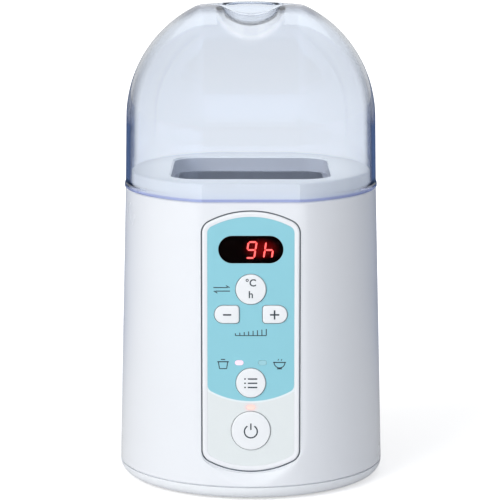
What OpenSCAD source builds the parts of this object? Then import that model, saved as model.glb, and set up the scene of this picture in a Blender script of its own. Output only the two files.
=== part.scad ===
// Yogurt maker with a clear lift-off dome: body, heated well, key panel and base.
// Millimetres. The base stands on z = 0, the key panel faces -Y and the mains gland is at the back.

/* [Body] */
// Height of the shoulder that the dome stands on
body_height = 168.2; // [140:0.1:200]
// Radius of the body at the shoulder
rim_radius = 72; // [65:0.1:80]
// How much the radius grows down to the seam above the base
body_flare = 4; // [2:0.1:6]
// Height of the seam
seam_height = 8.2; // [6:0.1:12]
// Height of the shadow groove along the seam
seam_groove = 0.6; // [0.3:0.1:1]
// Wall of the body
wall = 2.4; // [1.8:0.1:3.2]
// Half the width of the flat band on the front and the back
flat_half_width = 29; // [24:0.1:32]
// Height of the lowest point of the flat
flat_foot_height = 14; // [12.5:0.1:20]
// Radius of the arc that ends the flat at the bottom
flat_foot_radius = 45; // [40:0.5:60]
// How far the foot of the flat flares, as a share of its depth
flat_foot_flare = 0.6; // [0.3:0.05:0.8]

/* [Base] */
// Gap between the table and the base
base_lift = 1.2; // [0.8:0.1:2.5]
// Radius of the rounded lower edge
base_edge_radius = 7; // [5:0.1:7]
// Thickness of the base floor
base_floor = 2.6; // [2:0.1:3]
// Height of the lip that locates the body
lip_height = 5.8; // [3:0.1:8]
// Radius of a rubber foot
foot_radius = 6; // [4:0.1:7]
// Height of a rubber foot
foot_height = 2.2; // [2:0.1:3.2]
// Distance of the feet in from the seam
foot_inset = 20; // [17:0.5:26]
// Distance of the base screws in from the seam
base_screw_inset = 14; // [13:0.5:16]
// Length of a vent slot
vent_length = 36; // [24:1:40]
// Width of a vent slot
vent_width = 2; // [1:0.1:3]
// Distance between vent slots
vent_pitch = 6; // [4:0.5:7]
// Distance of the first vent slot from the middle
vent_start = 34; // [30:0.5:36]
// Vent slots in each group
vent_count = 4; // [2:1:4]

/* [Deck and well] */
// Distance of the collar in from the shoulder edge
collar_inset = 3.5; // [3:0.1:4.5]
// Height of the collar above the shoulder
collar_height = 10.3; // [8:0.1:12]
// Bevel along the upper edge of the collar
collar_bevel = 0.8; // [0.4:0.1:1.2]
// Distance of the collar flats in from the body's flats
collar_flat_inset = 3; // [2.9:0.1:4]
// Thickness of the deck
deck_thickness = 2.6; // [2:0.1:3.2]
// Width of the square opening in the deck
opening_width = 90; // [86.6:0.1:91]
// Corner radius of the opening
opening_corner = 16; // [12:0.1:17]
// Inside width of the heated well
well_width = 84; // [76:0.1:85]
// Inside corner radius of the well
well_corner = 10; // [7:0.1:14]
// Sheet thickness of the well
well_wall = 1.2; // [0.8:0.1:1.6]
// Height of the well floor above the table
well_floor_height = 18; // [16:0.1:24]
// Gap between the neck and the flange of the well
flange_gap = 3.5; // [3:0.1:5]
// Height of the heater pads
pad_height = 90; // [60:1:110]
// Height of the lower edge of the heater pads
pad_low = 32; // [26:1:40]
// Width of a heater pad
pad_width = 44; // [30:1:46]
// Thickness of a heater pad
pad_thickness = 1.6; // [1:0.1:2]

/* [Dome] */
// Wall of the dome
dome_wall = 2; // [1.5:0.1:2.4]
// Height of the upright side of the dome
dome_side = 39; // [30:0.1:46]
// Distance of the round top in from the shoulder edge
dome_inset = 0.6; // [0:0.1:1.5]
// Height of the grip fin above the top of the band
fin_height = 1.6; // [1:0.1:3.5]
// Radius of the arch along the top of the fin
fin_arch = 180; // [120:5:300]
// Thickness of the grip fin
fin_thickness = 8; // [6:0.1:12]
// Depth of the scoop floor at the fin below the top of the band
scoop_depth = 5.4; // [3.5:0.1:8]
// Radius of the finger scoops
scoop_radius = 30; // [26:0.1:34]
// Fall of the scoop floors away from the fin
scoop_fall = 15; // [10:0.5:20]

/* [Key panel] */
// Width of the panel
panel_width = 54; // [52:0.1:55]
// Lowest point of the panel
panel_bottom = 16.7; // [16:0.1:20]
// Distance from the shoulder down to the panel
panel_drop = 5; // [4:0.1:10]
// Radius of the arcs that end the panel
panel_end_radius = 50; // [45:0.5:60]
// Corner radius of the panel
panel_corner = 7; // [5:0.1:9]
// Thickness of the panel plate
panel_thickness = 2; // [1.6:0.1:2.4]
// Depth of the pocket for the panel
pocket_depth = 2.2; // [2:0.1:2.6]
// Width of the ledge under the panel
ledge_width = 5; // [3:0.1:5]
// Margin from the panel edge to the printed film
film_margin = 2.8; // [2:0.1:4]
// Thickness of the printed film
film_thickness = 0.25; // [0.2:0.05:0.4]

/* [Display] */
// Width of the display window
window_width = 36; // [32:0.1:38]
// Height of the display window
window_height = 15.3; // [13:0.1:17]
// Distance from the top of the panel down to the middle of the window
window_drop = 21.1; // [19:0.1:25]
// Height of a digit
digit_height = 10; // [8:0.1:11]
// Width of a digit
digit_width = 5.6; // [4:0.1:6]
// Distance between digits
digit_pitch = 9.75; // [9:0.05:11]
// Slant of the digits
digit_slant = 9; // [0:1:12]
// Width of a digit segment
segment_width = 1.3; // [0.8:0.1:1.6]

/* [Keys] */
// Radius of the unit button
unit_radius = 8.4; // [6:0.1:9]
// Distance from the top of the panel down to the unit button
unit_drop = 43.4; // [41:0.1:46]
// Width of the minus and plus buttons
step_width = 13.7; // [11:0.1:14]
// Height of the minus and plus buttons
step_height = 9.9; // [8:0.1:11]
// Distance of the minus and plus buttons from the middle
step_offset = 13.4; // [12:0.1:13.6]
// Distance from the top of the panel down to the minus and plus buttons
step_drop = 57.5; // [56:0.1:60]
// Inner corner radius of the minus and plus buttons
step_corner = 1.8; // [1:0.1:3]
// Radius of the menu button
menu_radius = 8.25; // [6:0.05:9]
// Height of the menu button above the foot of the panel
menu_rise = 50.2; // [48:0.1:51]
// Radius of the start button
start_radius = 10.9; // [8:0.1:12]
// Height of the start button above the foot of the panel
start_rise = 23; // [20:0.1:23.4]
// How far the buttons stand above the flat
button_rise = 1; // [0.6:0.1:1.5]
// Clearance around a moving button
button_gap = 0.35; // [0.3:0.05:0.5]
// Width of the flange that holds a button behind the panel
button_flange = 0.7; // [0.5:0.05:0.8]
// Bevel along the top edge of a button
button_bevel = 0.4; // [0.2:0.05:0.5]
// Travel of a button
button_travel = 0.8; // [0.4:0.1:1]
// Radius of a switch stem
stem_radius = 1.7; // [1.2:0.1:2]
// Width of a lamp lens
lens_width = 4.5; // [3.5:0.1:5]
// Height of a lamp lens
lens_height = 2.5; // [2:0.1:2.6]
// Width of the ears that hold a lens behind the panel
lens_ear = 0.75; // [0.5:0.05:1]
// Distance between the two menu lamps
lamp_pitch = 13; // [11:0.1:15]
// Height of the menu lamps above the foot of the panel
menu_lamp_rise = 61.6; // [61.2:0.1:64]
// Height of the start lamp above the foot of the panel
start_lamp_rise = 36.2; // [36.2:0.1:38]

/* [Electronics] */
// Depth of the control board behind the flat
board_depth = 9.5; // [9.3:0.1:10.5]
// Thickness of the circuit boards
board_thickness = 1.6; // [1:0.1:2]
// Width of the control board
board_width = 56; // [54:0.5:58]
// Lower edge of the control board
board_bottom = 28; // [27:0.5:30]
// Distance from the top of the panel down to the control board
board_drop = 5.2; // [4:0.1:9]
// Gap between the well and the power board
power_board_gap = 6.8; // [6:0.1:8]
// Width of the power board
power_board_width = 60; // [56:1:66]
// Height of the power board
power_board_height = 90; // [80:1:110]
// Width of the main chip
chip_width = 12; // [8:0.5:14]
// Width of the coil of the transformer
coil_width = 20; // [16:0.5:22]
// Depth of the transformer
coil_depth = 9; // [7:0.5:10]
// Width of the relay
relay_width = 15; // [12:0.5:16]
// Height of the relay
relay_height = 20; // [15:0.5:22]
// Radius of the smoothing capacitor
capacitor_radius = 5; // [4:0.1:6]
// Width of the terminal block
terminal_width = 14; // [12:0.5:16]
// Width of the foam pad under the well
support_width = 54; // [40:1:60]

/* [Mains gland] */
// Height of the gland above the table
gland_level = 28; // [26:0.5:34]
// Radius of the cord hole in the gland
gland_bore = 3.2; // [2.8:0.1:3.6]
// Radius of the gland body
gland_radius = 5.4; // [4.8:0.1:6]

/* [Hidden] */
$fn = 96;
seat_gap = 0.3;
film_gap = 0.1;
screw_gap = 0.1;
seam_radius = rim_radius + body_flare;
body_slope = (seam_radius - rim_radius) / (body_height - seam_height);
seam_top = seam_height + seam_groove;
foot_spread = seam_radius - foot_inset;
base_screw_spread = seam_radius - base_screw_inset;
panel_top = body_height - panel_drop;
window_level = panel_top - window_drop;
unit_level = panel_top - unit_drop;
step_level = panel_top - step_drop;
menu_level = panel_bottom + menu_rise;
start_level = panel_bottom + start_rise;
menu_lamp_level = panel_bottom + menu_lamp_rise;
start_lamp_level = panel_bottom + start_lamp_rise;
board_top = panel_top - board_drop;
dome_centre = body_height + dome_side;
dome_radius = rim_radius - dome_inset;
dome_band = sqrt(pow(dome_radius, 2) - pow(flat_half_width, 2));
fin_top = dome_centre + dome_band + fin_height;
scoop_floor = dome_centre + dome_band - scoop_depth;
flat_level = 90;
flat_lean = atan((flat_reach(20) - flat_reach(body_height)) / (body_height - 20));
foot_centre = flat_foot_height + flat_foot_radius;
panel_back = -pocket_depth;
panel_front = panel_back + panel_thickness;
film_front = panel_front + film_thickness;
land_depth = pocket_depth + 1.8;
land_half_width = flat_half_width + 1;
deck_top = body_height + collar_height;
deck_under = deck_top - deck_thickness;
flange_top = body_height + 1.7;
collar_radius = rim_radius - collar_inset;
collar_flat = flat_reach(body_height) - collar_flat_inset;
neck_radius = collar_radius - 4.5;
flange_radius = neck_radius - flange_gap;
neck_flat = collar_flat - 4.8;
skirt_wall = 2;
skirt_drop = 5;
base_top = base_lift + base_floor;
base_pocket = seam_radius - 5.8;
lip_radius = seam_radius - wall - 0.4;
boss_foot = seam_top + 3.2;
boss_top = board_bottom - 2;
boss_radius = 4.5;
post_height = 8.2;
board_rear = -board_depth - board_thickness;
board_screw_x = board_width / 2 - 2.8;
button_flange_top = panel_back - seat_gap;
button_flange_bottom = button_flange_top - 1;
switch_height = 3.2;
switch_size = 6.2;
stem_entry = 1.4;
window_flange = 1;
well_outside = well_width + 2 * well_wall;
well_bottom = well_floor_height - well_wall;
power_board_offset = well_outside / 2 + power_board_gap;
sensor_width = 9.5;
sensor_depth = 8;
sensor_height = 12;
sensor_low = pad_low + 28;
sensor_place = -pad_width / 2 - 0.5 - sensor_width;
fuse_width = 6;
ribbon_low = board_bottom + 14;
dome_foot = body_height + seat_gap;
dome_lip = 0.5;
fin_length = 2 * flat_half_width - 6;
dome_lip_height = 2.2;

white = [0.95, 0.95, 0.97];
pale_grey = [0.85, 0.87, 0.89];
clear_blue = [0.72, 0.82, 0.95];
aqua = [0.55, 0.83, 0.86];
smoked = [0.06, 0.06, 0.07];
metal = [0.78, 0.79, 0.81];
steel = [0.62, 0.63, 0.66];
rubber_black = [0.12, 0.12, 0.13];
silicone_red = [0.75, 0.35, 0.25];
board_green = [0.12, 0.42, 0.25];
dark_grey = [0.25, 0.26, 0.28];
lit_red = [0.95, 0.15, 0.1];
copper = [0.72, 0.45, 0.2];
yellow = [0.9, 0.75, 0.2];

buttons = [[0, unit_level], [-step_offset, step_level], [step_offset, step_level],
           [0, menu_level], [0, start_level]];
round_radius = [unit_radius, 0, 0, menu_radius, start_radius];
lamps = [[-lamp_pitch / 2, menu_lamp_level], [lamp_pitch / 2, menu_lamp_level], [0, start_lamp_level]];

function body_reach(z) = rim_radius + body_slope * (body_height - z);
function flat_reach(z) = sqrt(pow(body_reach(z), 2) - pow(flat_half_width, 2));

// ---------- shared shapes ----------

// Puts a piece on the front flat: x across, y up the flat from z = flat_level, z out of it
module on_flat() {
    translate([0, -flat_reach(flat_level), flat_level]) rotate([90 - flat_lean, 0, 0]) children();
}

// The same, at a place given by x and its height on the object, and a depth n
module at_flat(x, z, n) {
    on_flat() translate([x, z - flat_level, n]) children();
}

// What is cut away in front of a flat
module flat_cutter() {
    translate([0, foot_centre - flat_level, 0])
        cylinder(r1 = flat_foot_radius, r2 = flat_foot_radius + 15 * flat_foot_flare, h = 15);
    translate([-60, foot_centre - flat_level, 0]) cube([120, body_height - foot_centre + 20, 15]);
}

// The tapered body between two heights, drawn in by inset
module tapered_body(inset, low, high) {
    difference() {
        translate([0, 0, low])
            cylinder(r1 = body_reach(low) - inset, r2 = body_reach(high) - inset, h = high - low);
        for (turn = [0, 180]) rotate([0, 0, turn]) on_flat() translate([0, 0, -inset]) flat_cutter();
    }
}

// A disc with two flats, front and back
module flatted_disc(radius, flat, low, high) {
    translate([0, 0, low]) intersection() {
        cylinder(r = radius, h = high - low);
        translate([-radius - 1, -flat, 0]) cube([2 * radius + 2, 2 * flat, high - low]);
    }
}

// A square with round corners
module round_square(width, depth, corner) {
    square([width - 2 * corner, depth], center = true);
    square([width, depth - 2 * corner], center = true);
    for (x = [-1, 1], y = [-1, 1])
        translate([x * (width / 2 - corner), y * (depth / 2 - corner)]) circle(r = corner);
}

// A bar with round ends, lying along x
module stadium(width, height) {
    square([width - height, height], center = true);
    for (x = [-1, 1]) translate([x * (width - height) / 2, 0]) circle(r = height / 2);
}

// The panel outline: straight sides, arched ends and round corners, drawn larger by grow
module panel_outline(grow) {
    half = panel_width / 2 + grow;
    end_r = panel_end_radius + grow;
    corner = panel_corner + grow;
    top_centre = panel_top - panel_end_radius - flat_level;
    bottom_centre = panel_bottom + panel_end_radius - flat_level;
    rise = sqrt(pow(end_r - corner, 2) - pow(half - corner, 2));
    square_low = bottom_centre - rise;
    square_high = top_centre + rise;
    lean_out = atan2(rise, half - corner);
    translate([-half, square_low]) square([2 * half, square_high - square_low]);
    for (end = [[top_centre, 1], [bottom_centre, -1]]) translate([0, end[0]]) turned_over(end[1]) {
        intersection() {
            circle(r = end_r);
            polygon([[0, 0], 2 * end_r * [cos(lean_out), sin(lean_out)],
                     2 * end_r * [-cos(lean_out), sin(lean_out)]]);
        }
        for (side = [-1, 1]) translate([side * (half - corner), rise]) circle(r = corner);
    }
}

// Turns a flat shape by half a turn where way is -1
module turned_over(way) {
    if (way < 0) rotate(180) children();
    else children();
}

// The outline of one button: 0 unit, 1 minus, 2 plus, 3 menu, 4 start
module button_outline(which, grow) {
    if (which == 0) circle(r = unit_radius + grow);
    if (which == 1) step_outline(grow);
    if (which == 2) rotate(180) step_outline(grow);
    if (which == 3) circle(r = menu_radius + grow);
    if (which == 4) circle(r = start_radius + grow);
}

// A D shape whose round end points to -x
module step_outline(grow) {
    r = step_height / 2 + grow;
    corner = step_corner + grow;
    centre = step_height / 2 - step_width / 2;
    inner = step_width / 2 + grow;
    translate([centre, 0]) circle(r = r);
    translate([centre, -r]) square([inner - corner - centre, 2 * r]);
    translate([centre, corner - r]) square([inner - centre, 2 * r - 2 * corner]);
    for (y = [-1, 1]) translate([inner - corner, y * (r - corner)]) circle(r = corner);
}

// A screw head at z = 0 with its shank above it
module screw(shank, length, head, head_height) {
    difference() {
        translate([0, 0, -head_height]) cylinder(r = head, h = head_height);
        for (turn = [0, 90]) rotate([0, 0, turn])
            translate([-head * 0.6, -0.3, -head_height - 1]) cube([head * 1.2, 0.6, 1.7]);
    }
    cylinder(r = shank, h = length);
}

// The dome as a solid, drawn in by inset: a round top cut to a flat band that runs over it
module dome_solid(inset, foot) {
    radius = dome_radius - inset;
    band = dome_band - inset;
    band_foot = flat_reach(body_height) - inset;
    difference() {
        union() {
            intersection() {
                union() {
                    translate([0, 0, dome_centre]) sphere(r = radius);
                    translate([0, 0, foot])
                        cylinder(r1 = rim_radius - inset, r2 = radius, h = dome_centre - foot);
                }
                rotate([90, 0, 90]) linear_extrude(height = 2 * rim_radius + 8, center = true) {
                    intersection() {
                        translate([0, dome_centre]) circle(r = band);
                        translate([-100, dome_centre]) square([200, 100]);
                    }
                    polygon([[-band_foot, foot], [band_foot, foot],
                             [band, dome_centre], [-band, dome_centre]]);
                }
            }
            fin_ridge(inset);
        }
        for (turn = [0, 180]) rotate([0, 0, turn]) finger_scoop(inset);
    }
}

// The arched ridge along the top of the fin
module fin_ridge(inset) {
    width = fin_thickness - 2 * inset;
    intersection() {
        translate([-fin_length / 2, -width / 2, dome_centre + 10]) cube([fin_length, width, 100]);
        translate([0, 0, fin_top - fin_arch]) rotate([90, 0, 0])
            cylinder(r = fin_arch - inset, h = fin_thickness + 2, center = true);
    }
}

// The round trough beside the fin, larger by grow
module finger_scoop(grow) {
    face = fin_thickness / 2 - grow;
    difference() {
        translate([0, -fin_thickness / 2, scoop_floor + scoop_radius / cos(scoop_fall)])
            rotate([90 + scoop_fall, 0, 0]) translate([0, 0, -20])
                cylinder(r = scoop_radius + grow, h = 110);
        translate([-60, -face, 200]) cube([120, 60, 160]);
    }
}

// ---------- body and base ----------

module outer_housing() color(white) {
    difference() {
        union() {
            difference() {
                tapered_body(0, seam_top, body_height);
                tapered_body(wall, seam_top - 1, body_height - wall);
                flatted_disc(neck_radius, neck_flat, body_height - wall - 1, body_height + 1);
            }
            intersection() {
                tapered_body(wall / 2, seam_top, body_height - wall / 2);
                union() {
                    on_flat() translate([-land_half_width, panel_bottom - flat_level - 4, -land_depth])
                        cube([2 * land_half_width, body_height - panel_bottom + 4, land_depth - wall + 0.5]);
                    at_flat_corners(-board_depth) cylinder(r = 2.6, h = board_depth - land_depth + 0.5);
                    at_base_screws() {
                        translate([0, 0, boss_foot]) cylinder(r = boss_radius, h = boss_top - boss_foot);
                        translate([0, -wall / 2, boss_foot])
                            cube([base_screw_inset, wall, boss_top - boss_foot]);
                    }
                }
            }
        }
        on_flat() {
            translate([0, 0, -pocket_depth]) linear_extrude(height = pocket_depth + 1)
                panel_outline(button_gap);
            translate([0, 0, -land_depth - 1]) linear_extrude(height = land_depth)
                panel_outline(-ledge_width);
        }
        at_flat_corners(-board_depth - 1) cylinder(r = 1 + screw_gap / 2, h = 5.5);
        at_base_screws() translate([0, 0, boss_foot - 1]) cylinder(r = 1.5 + screw_gap / 2, h = 15);
        translate([0, 0, gland_level]) rotate([-90, 0, 0]) cylinder(r = gland_radius, h = 100);
        translate([0, gland_face(), gland_level]) rotate([-90, 0, 0])
            cylinder(r = gland_radius + 2.6, h = 10);
    }
}

// Where the gland flange sits, a little under the back flat
function gland_face() = flat_reach(gland_level) - 1.2;

// The four screw places of the control board
module at_flat_corners(n) {
    for (x = [-1, 1], z = [board_bottom + 4, board_top - 4]) at_flat(x * board_screw_x, z, n) children();
}

// The four screw places of the base, with x pointing outward
module at_base_screws() {
    for (turn = [60, 120, 240, 300]) rotate([0, 0, turn]) translate([base_screw_spread, 0, 0]) children();
}

module base_plate() color(pale_grey) {
    difference() {
        union() {
            rotate_extrude() {
                translate([0, base_lift]) square([seam_radius - base_edge_radius, seam_height - base_lift]);
                intersection() {
                    translate([seam_radius - base_edge_radius, seam_height]) circle(r = base_edge_radius);
                    translate([seam_radius - base_edge_radius - 1, 0])
                        square([base_edge_radius + 2, seam_height]);
                }
            }
            difference() {
                translate([0, 0, seam_height - 1]) cylinder(r = seam_radius - 1.2, h = seam_groove + 1);
                cylinder(r = base_pocket - 1, h = 30);
            }
            difference() {
                cylinder(r = lip_radius, h = seam_height + lip_height);
                translate([-42, -100, -1]) cube([84, 200, 60]);
                translate([0, 0, -1]) cylinder(r = lip_radius + 1, h = seam_height);
            }
        }
        translate([0, 0, base_top]) difference() {
            cylinder(r = base_pocket, h = 40);
            translate([0, 0, -base_top]) at_base_screws() cylinder(r = 3.7, h = boss_foot);
            for (y = [-1, 1]) translate([power_board_offset - 2.5, y * power_board_width * 0.4 - 3, -1])
                cube([board_thickness + 5, 6, post_height + 1]);
        }
        for (y = [-1, 1], i = [0 : vent_count - 1])
            translate([0, y * (vent_start + i * vent_pitch), 0]) linear_extrude(height = 12)
                stadium(vent_length, vent_width);
        at_feet() translate([0, 0, -1]) cylinder(r = foot_radius + screw_gap, h = foot_height + 1);
        at_base_screws() {
            cylinder(r = 1.7, h = 30);
            cylinder(r = 3.3, h = base_lift + 1.8);
        }
        translate([power_board_offset - film_gap / 2, -(power_board_width + film_gap) / 2, base_top + 2.2])
            cube([board_thickness + film_gap, power_board_width + film_gap, 30]);
    }
}

// The four places of the feet
module at_feet() {
    for (turn = [45 : 90 : 315]) rotate([0, 0, turn]) translate([foot_spread, 0, 0]) children();
}

module rubber_feet() color(rubber_black) at_feet() {
    cylinder(r1 = foot_radius - 0.6, r2 = foot_radius, h = 0.8);
    translate([0, 0, 0.8]) cylinder(r = foot_radius, h = foot_height - 0.8);
}

module base_screws() color(steel)
    at_base_screws() translate([0, 0, base_lift + 1.8]) screw(1.5, 20, 3, 1.6);

module cord_gland() color(rubber_black) {
    difference() {
        translate([0, gland_face() - 6, gland_level]) rotate([-90, 0, 0]) {
            cylinder(r = gland_radius - film_gap, h = 6);
            translate([0, 0, 6]) cylinder(r = gland_radius + 2.4, h = 2.4);
        }
        translate([0, 0, gland_level]) rotate([-90, 0, 0]) cylinder(r = gland_bore, h = 100);
    }
}

// ---------- deck and well ----------

module top_deck() color(white) {
    difference() {
        union() {
            difference() {
                intersection() {
                    flatted_disc(collar_radius, collar_flat, body_height, deck_top);
                    translate([0, 0, body_height]) cylinder(r1 = collar_radius + collar_height,
                                                            r2 = collar_radius - collar_bevel,
                                                            h = collar_height);
                }
                flatted_disc(collar_radius - 2.4, collar_flat - 2.4, body_height - 1, deck_under);
            }
            difference() {
                flatted_disc(neck_radius - seat_gap, neck_flat - seat_gap,
                             body_height - skirt_drop, deck_under + 0.5);
                flatted_disc(neck_radius - seat_gap - skirt_wall, neck_flat - seat_gap - skirt_wall,
                             body_height - skirt_drop - 1, deck_under);
            }
            translate([0, 0, flange_top]) linear_extrude(height = deck_under - flange_top + 0.5)
                round_square(opening_width + 4, opening_width + 4, opening_corner + 2);
            at_well_screws() translate([0, 0, flange_top])
                cylinder(r = 3.4, h = deck_under - flange_top + 0.5);
        }
        translate([0, 0, flange_top - 1]) linear_extrude(height = 20)
            round_square(opening_width, opening_width, opening_corner);
        translate([0, 0, deck_top - 0.8]) linear_extrude(height = 2)
            round_square(opening_width + 1.6, opening_width + 1.6, opening_corner + 0.8);
        at_well_screws() translate([0, 0, flange_top - 1]) cylinder(r = 1.25 + screw_gap / 2, h = 6);
    }
}

// The four screws that hang the well from the deck
module at_well_screws() {
    y = well_width * 0.26;
    x = (well_outside / 2 + sqrt(pow(flange_radius, 2) - y * y)) / 2;
    for (i = [-1, 1], j = [-1, 1]) translate([i * x, j * y, 0]) children();
}

module well_liner() color(metal) {
    difference() {
        union() {
            translate([0, 0, well_bottom]) linear_extrude(height = flange_top - well_bottom)
                round_square(well_outside, well_outside, well_corner + well_wall);
            flatted_disc(flange_radius, neck_flat - 3.1, flange_top - well_wall, flange_top);
        }
        translate([0, 0, well_floor_height]) linear_extrude(height = body_height)
            round_square(well_width, well_width, well_corner);
        at_well_screws() translate([0, 0, flange_top - 5]) cylinder(r = 1.6, h = 10);
    }
}

module well_screws() color(steel)
    at_well_screws() translate([0, 0, flange_top - well_wall]) screw(1.25, 5.5, 2.8, 1.8);

module heater_pads() color(silicone_red)
    for (turn = [0 : 90 : 270]) rotate([0, 0, turn])
        translate([well_outside / 2, -pad_width / 2, pad_low]) cube([pad_thickness, pad_width, pad_height]);

module heater_leads() color(copper)
    for (y = [-6, 6]) translate([well_outside / 2 + pad_thickness, y, pad_low + 12]) rotate([0, 90, 0])
        cylinder(r = 0.8, h = power_board_offset - well_outside / 2 - pad_thickness);

// Puts a part on the outer face of the well on the left, at y and z
module on_well(y, z) {
    translate([-well_outside / 2, y, z]) children();
}

module sensor_block() color(metal) on_well(sensor_place, sensor_low) difference() {
    translate([-sensor_depth, 0, 0]) cube([sensor_depth, sensor_width, sensor_height]);
    translate([-sensor_depth / 2, sensor_width / 2, -1]) cylinder(r = 2.1, h = sensor_height + 2);
}

module thermistor() color(rubber_black)
    on_well(sensor_place + sensor_width / 2, sensor_low) translate([-sensor_depth / 2, 0, 0]) {
        translate([0, 0, 1]) cylinder(r = 2, h = sensor_height - 1);
        translate([0, 0, sensor_height]) cylinder(r = 3, h = 1.5);
    }

module thermal_fuse() color(pale_grey) on_well(pad_width / 2 + 0.5, sensor_low) {
    translate([-3, 0, 0]) cube([3, fuse_width, 12]);
    for (z = [-8, 12]) translate([-1.5, fuse_width / 2, z]) cylinder(r = 0.6, h = 8);
}

module support_pad() color(dark_grey)
    translate([0, 0, base_top]) linear_extrude(height = well_bottom - base_top)
        round_square(support_width, support_width, 6);

// ---------- key panel ----------

module control_panel() color(white) on_flat() difference() {
    translate([0, 0, panel_back]) linear_extrude(height = panel_thickness) panel_outline(0);
    translate([0, 0, panel_back - 1]) panel_holes(panel_thickness + 2);
}

// Every hole through the panel and its film
module panel_holes(height) {
    linear_extrude(height = height) {
        translate([0, window_level - flat_level])
            stadium(window_width + 2 * film_gap, window_height + 2 * film_gap);
        for (i = [0 : 4]) translate([buttons[i][0], buttons[i][1] - flat_level])
            button_outline(i, button_gap);
        for (lamp = lamps) translate([lamp[0], lamp[1] - flat_level])
            stadium(lens_width + 2 * film_gap, lens_height + 2 * film_gap);
    }
}

module panel_overlay() color(aqua) on_flat() difference() {
    translate([0, 0, panel_front]) linear_extrude(height = film_thickness) panel_outline(-film_margin);
    translate([0, 0, panel_front - 1]) panel_holes(3);
}

module display_window() color(smoked) at_flat(0, window_level, panel_back) {
    linear_extrude(height = film_front - panel_back) stadium(window_width, window_height);
    translate([0, 0, -window_flange]) linear_extrude(height = window_flange)
        stadium(window_width + 3.4, window_height + 3.4);
}

module display_module() color(dark_grey) at_flat(0, window_level, -board_depth)
    translate([-window_width / 2, 0.15 - window_height / 2, 0])
        cube([window_width, window_height - 0.3, board_depth + panel_back - window_flange - 0.5]);

module display_segments() color(lit_red) at_flat(0, window_level, panel_back - window_flange - 0.5)
    linear_extrude(height = 0.15) for (i = [-1 : 1]) translate([i * digit_pitch + 0.3, 0]) digit();

// Seven bars of one digit, leaning by digit_slant
module digit() {
    w = (digit_width - segment_width) / 2;
    h = (digit_height - segment_width) / 2;
    for (y = [-h, 0, h]) segment([0, y], w - 0.2, 0);
    for (x = [-w, w], y = [-h / 2, h / 2]) segment([x, y], h / 2 - 0.2, 90);
}

module segment(at, half, turn) {
    t = segment_width / 2;
    outline = [[-half, 0], [t - half, t], [half - t, t], [half, 0], [half - t, -t], [t - half, -t]];
    polygon([for (p = outline) lean(at + (turn == 0 ? p : [-p[1], p[0]]))]);
}

function lean(p) = [p[0] + p[1] * tan(digit_slant), p[1]];

// ---------- buttons ----------

// One button: a cap with a bevelled top and a flange behind the panel
module push_button(i) at_flat(buttons[i][0], buttons[i][1], button_flange_bottom) {
    shoulder = button_rise - button_bevel - button_flange_bottom;
    linear_extrude(height = button_flange_top - button_flange_bottom) button_outline(i, button_flange);
    linear_extrude(height = shoulder) button_outline(i, 0);
    if (round_radius[i] > 0)
        translate([0, 0, shoulder])
            cylinder(r1 = round_radius[i], r2 = round_radius[i] - button_bevel, h = button_bevel);
    else
        linear_extrude(height = shoulder + button_bevel) button_outline(i, -button_bevel);
}

// The stem that carries the press of one button into its switch
module switch_stem(i) {
    tip = switch_height - board_depth - stem_entry;
    at_flat(buttons[i][0], buttons[i][1], tip) cylinder(r = stem_radius, h = button_flange_bottom - tip);
}

module unit_button() color(pale_grey) push_button(0);
module minus_button() color(pale_grey) push_button(1);
module plus_button() color(pale_grey) push_button(2);
module menu_button() color(pale_grey) push_button(3);
module start_button() color(pale_grey) push_button(4);
module unit_stem() color(dark_grey) switch_stem(0);
module minus_stem() color(dark_grey) switch_stem(1);
module plus_stem() color(dark_grey) switch_stem(2);
module menu_stem() color(dark_grey) switch_stem(3);
module start_stem() color(dark_grey) switch_stem(4);

// ---------- electronics ----------

module tact_switches() color(dark_grey)
    for (place = buttons) at_flat(place[0], place[1], -board_depth) difference() {
        translate([-switch_size / 2, -switch_size / 2, 0]) cube([switch_size, switch_size, switch_height]);
        translate([0, 0, switch_height - stem_entry - button_travel - 0.5])
            cylinder(r = stem_radius + button_gap, h = 5);
    }

module indicator_leds() color(yellow)
    for (lamp = lamps) at_flat(lamp[0], lamp[1], -board_depth) {
        cylinder(r = 1.9, h = 1);
        cylinder(r = 1.5, h = board_depth - 4.5);
    }

module indicator_lenses() color(pale_grey)
    for (lamp = lamps) at_flat(lamp[0], lamp[1], panel_back) {
        linear_extrude(height = film_front - panel_back) stadium(lens_width, lens_height);
        translate([0, 0, -1]) linear_extrude(height = 1) stadium(lens_width + 2 * lens_ear, lens_height);
    }

module control_board() color(board_green) on_flat() difference() {
    translate([-board_width / 2, board_bottom - flat_level, board_rear])
        cube([board_width, board_top - board_bottom, board_thickness]);
    for (x = [-1, 1], z = [board_bottom + 4, board_top - 4])
        translate([x * board_screw_x, z - flat_level, board_rear - 1])
            cylinder(r = 1.3, h = board_thickness + 2);
}

module control_board_screws() color(steel)
    at_flat_corners(board_rear) screw(1, board_thickness + 4, 2.2, 1.4);

module control_board_chips() color(dark_grey) {
    at_flat(0, step_level - 10, board_rear - 2) translate([-chip_width / 2, -chip_width / 2, 0])
        cube([chip_width, chip_width, 2]);
    at_flat(-14, menu_level - 5, board_rear - 1.6) translate([-3, -5, 0]) cube([6, 10, 1.6]);
    at_flat(12, unit_level, board_rear - 5) cylinder(r = chip_width / 2, h = 5);
}

module power_board() color(board_green)
    translate([power_board_offset, -power_board_width / 2, base_top + 2.2])
        cube([board_thickness, power_board_width, power_board_height]);

// Puts a part on the outer face of the power board: y and z of its middle
module on_power_board(y, z) {
    translate([power_board_offset + board_thickness, y, z]) children();
}

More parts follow.
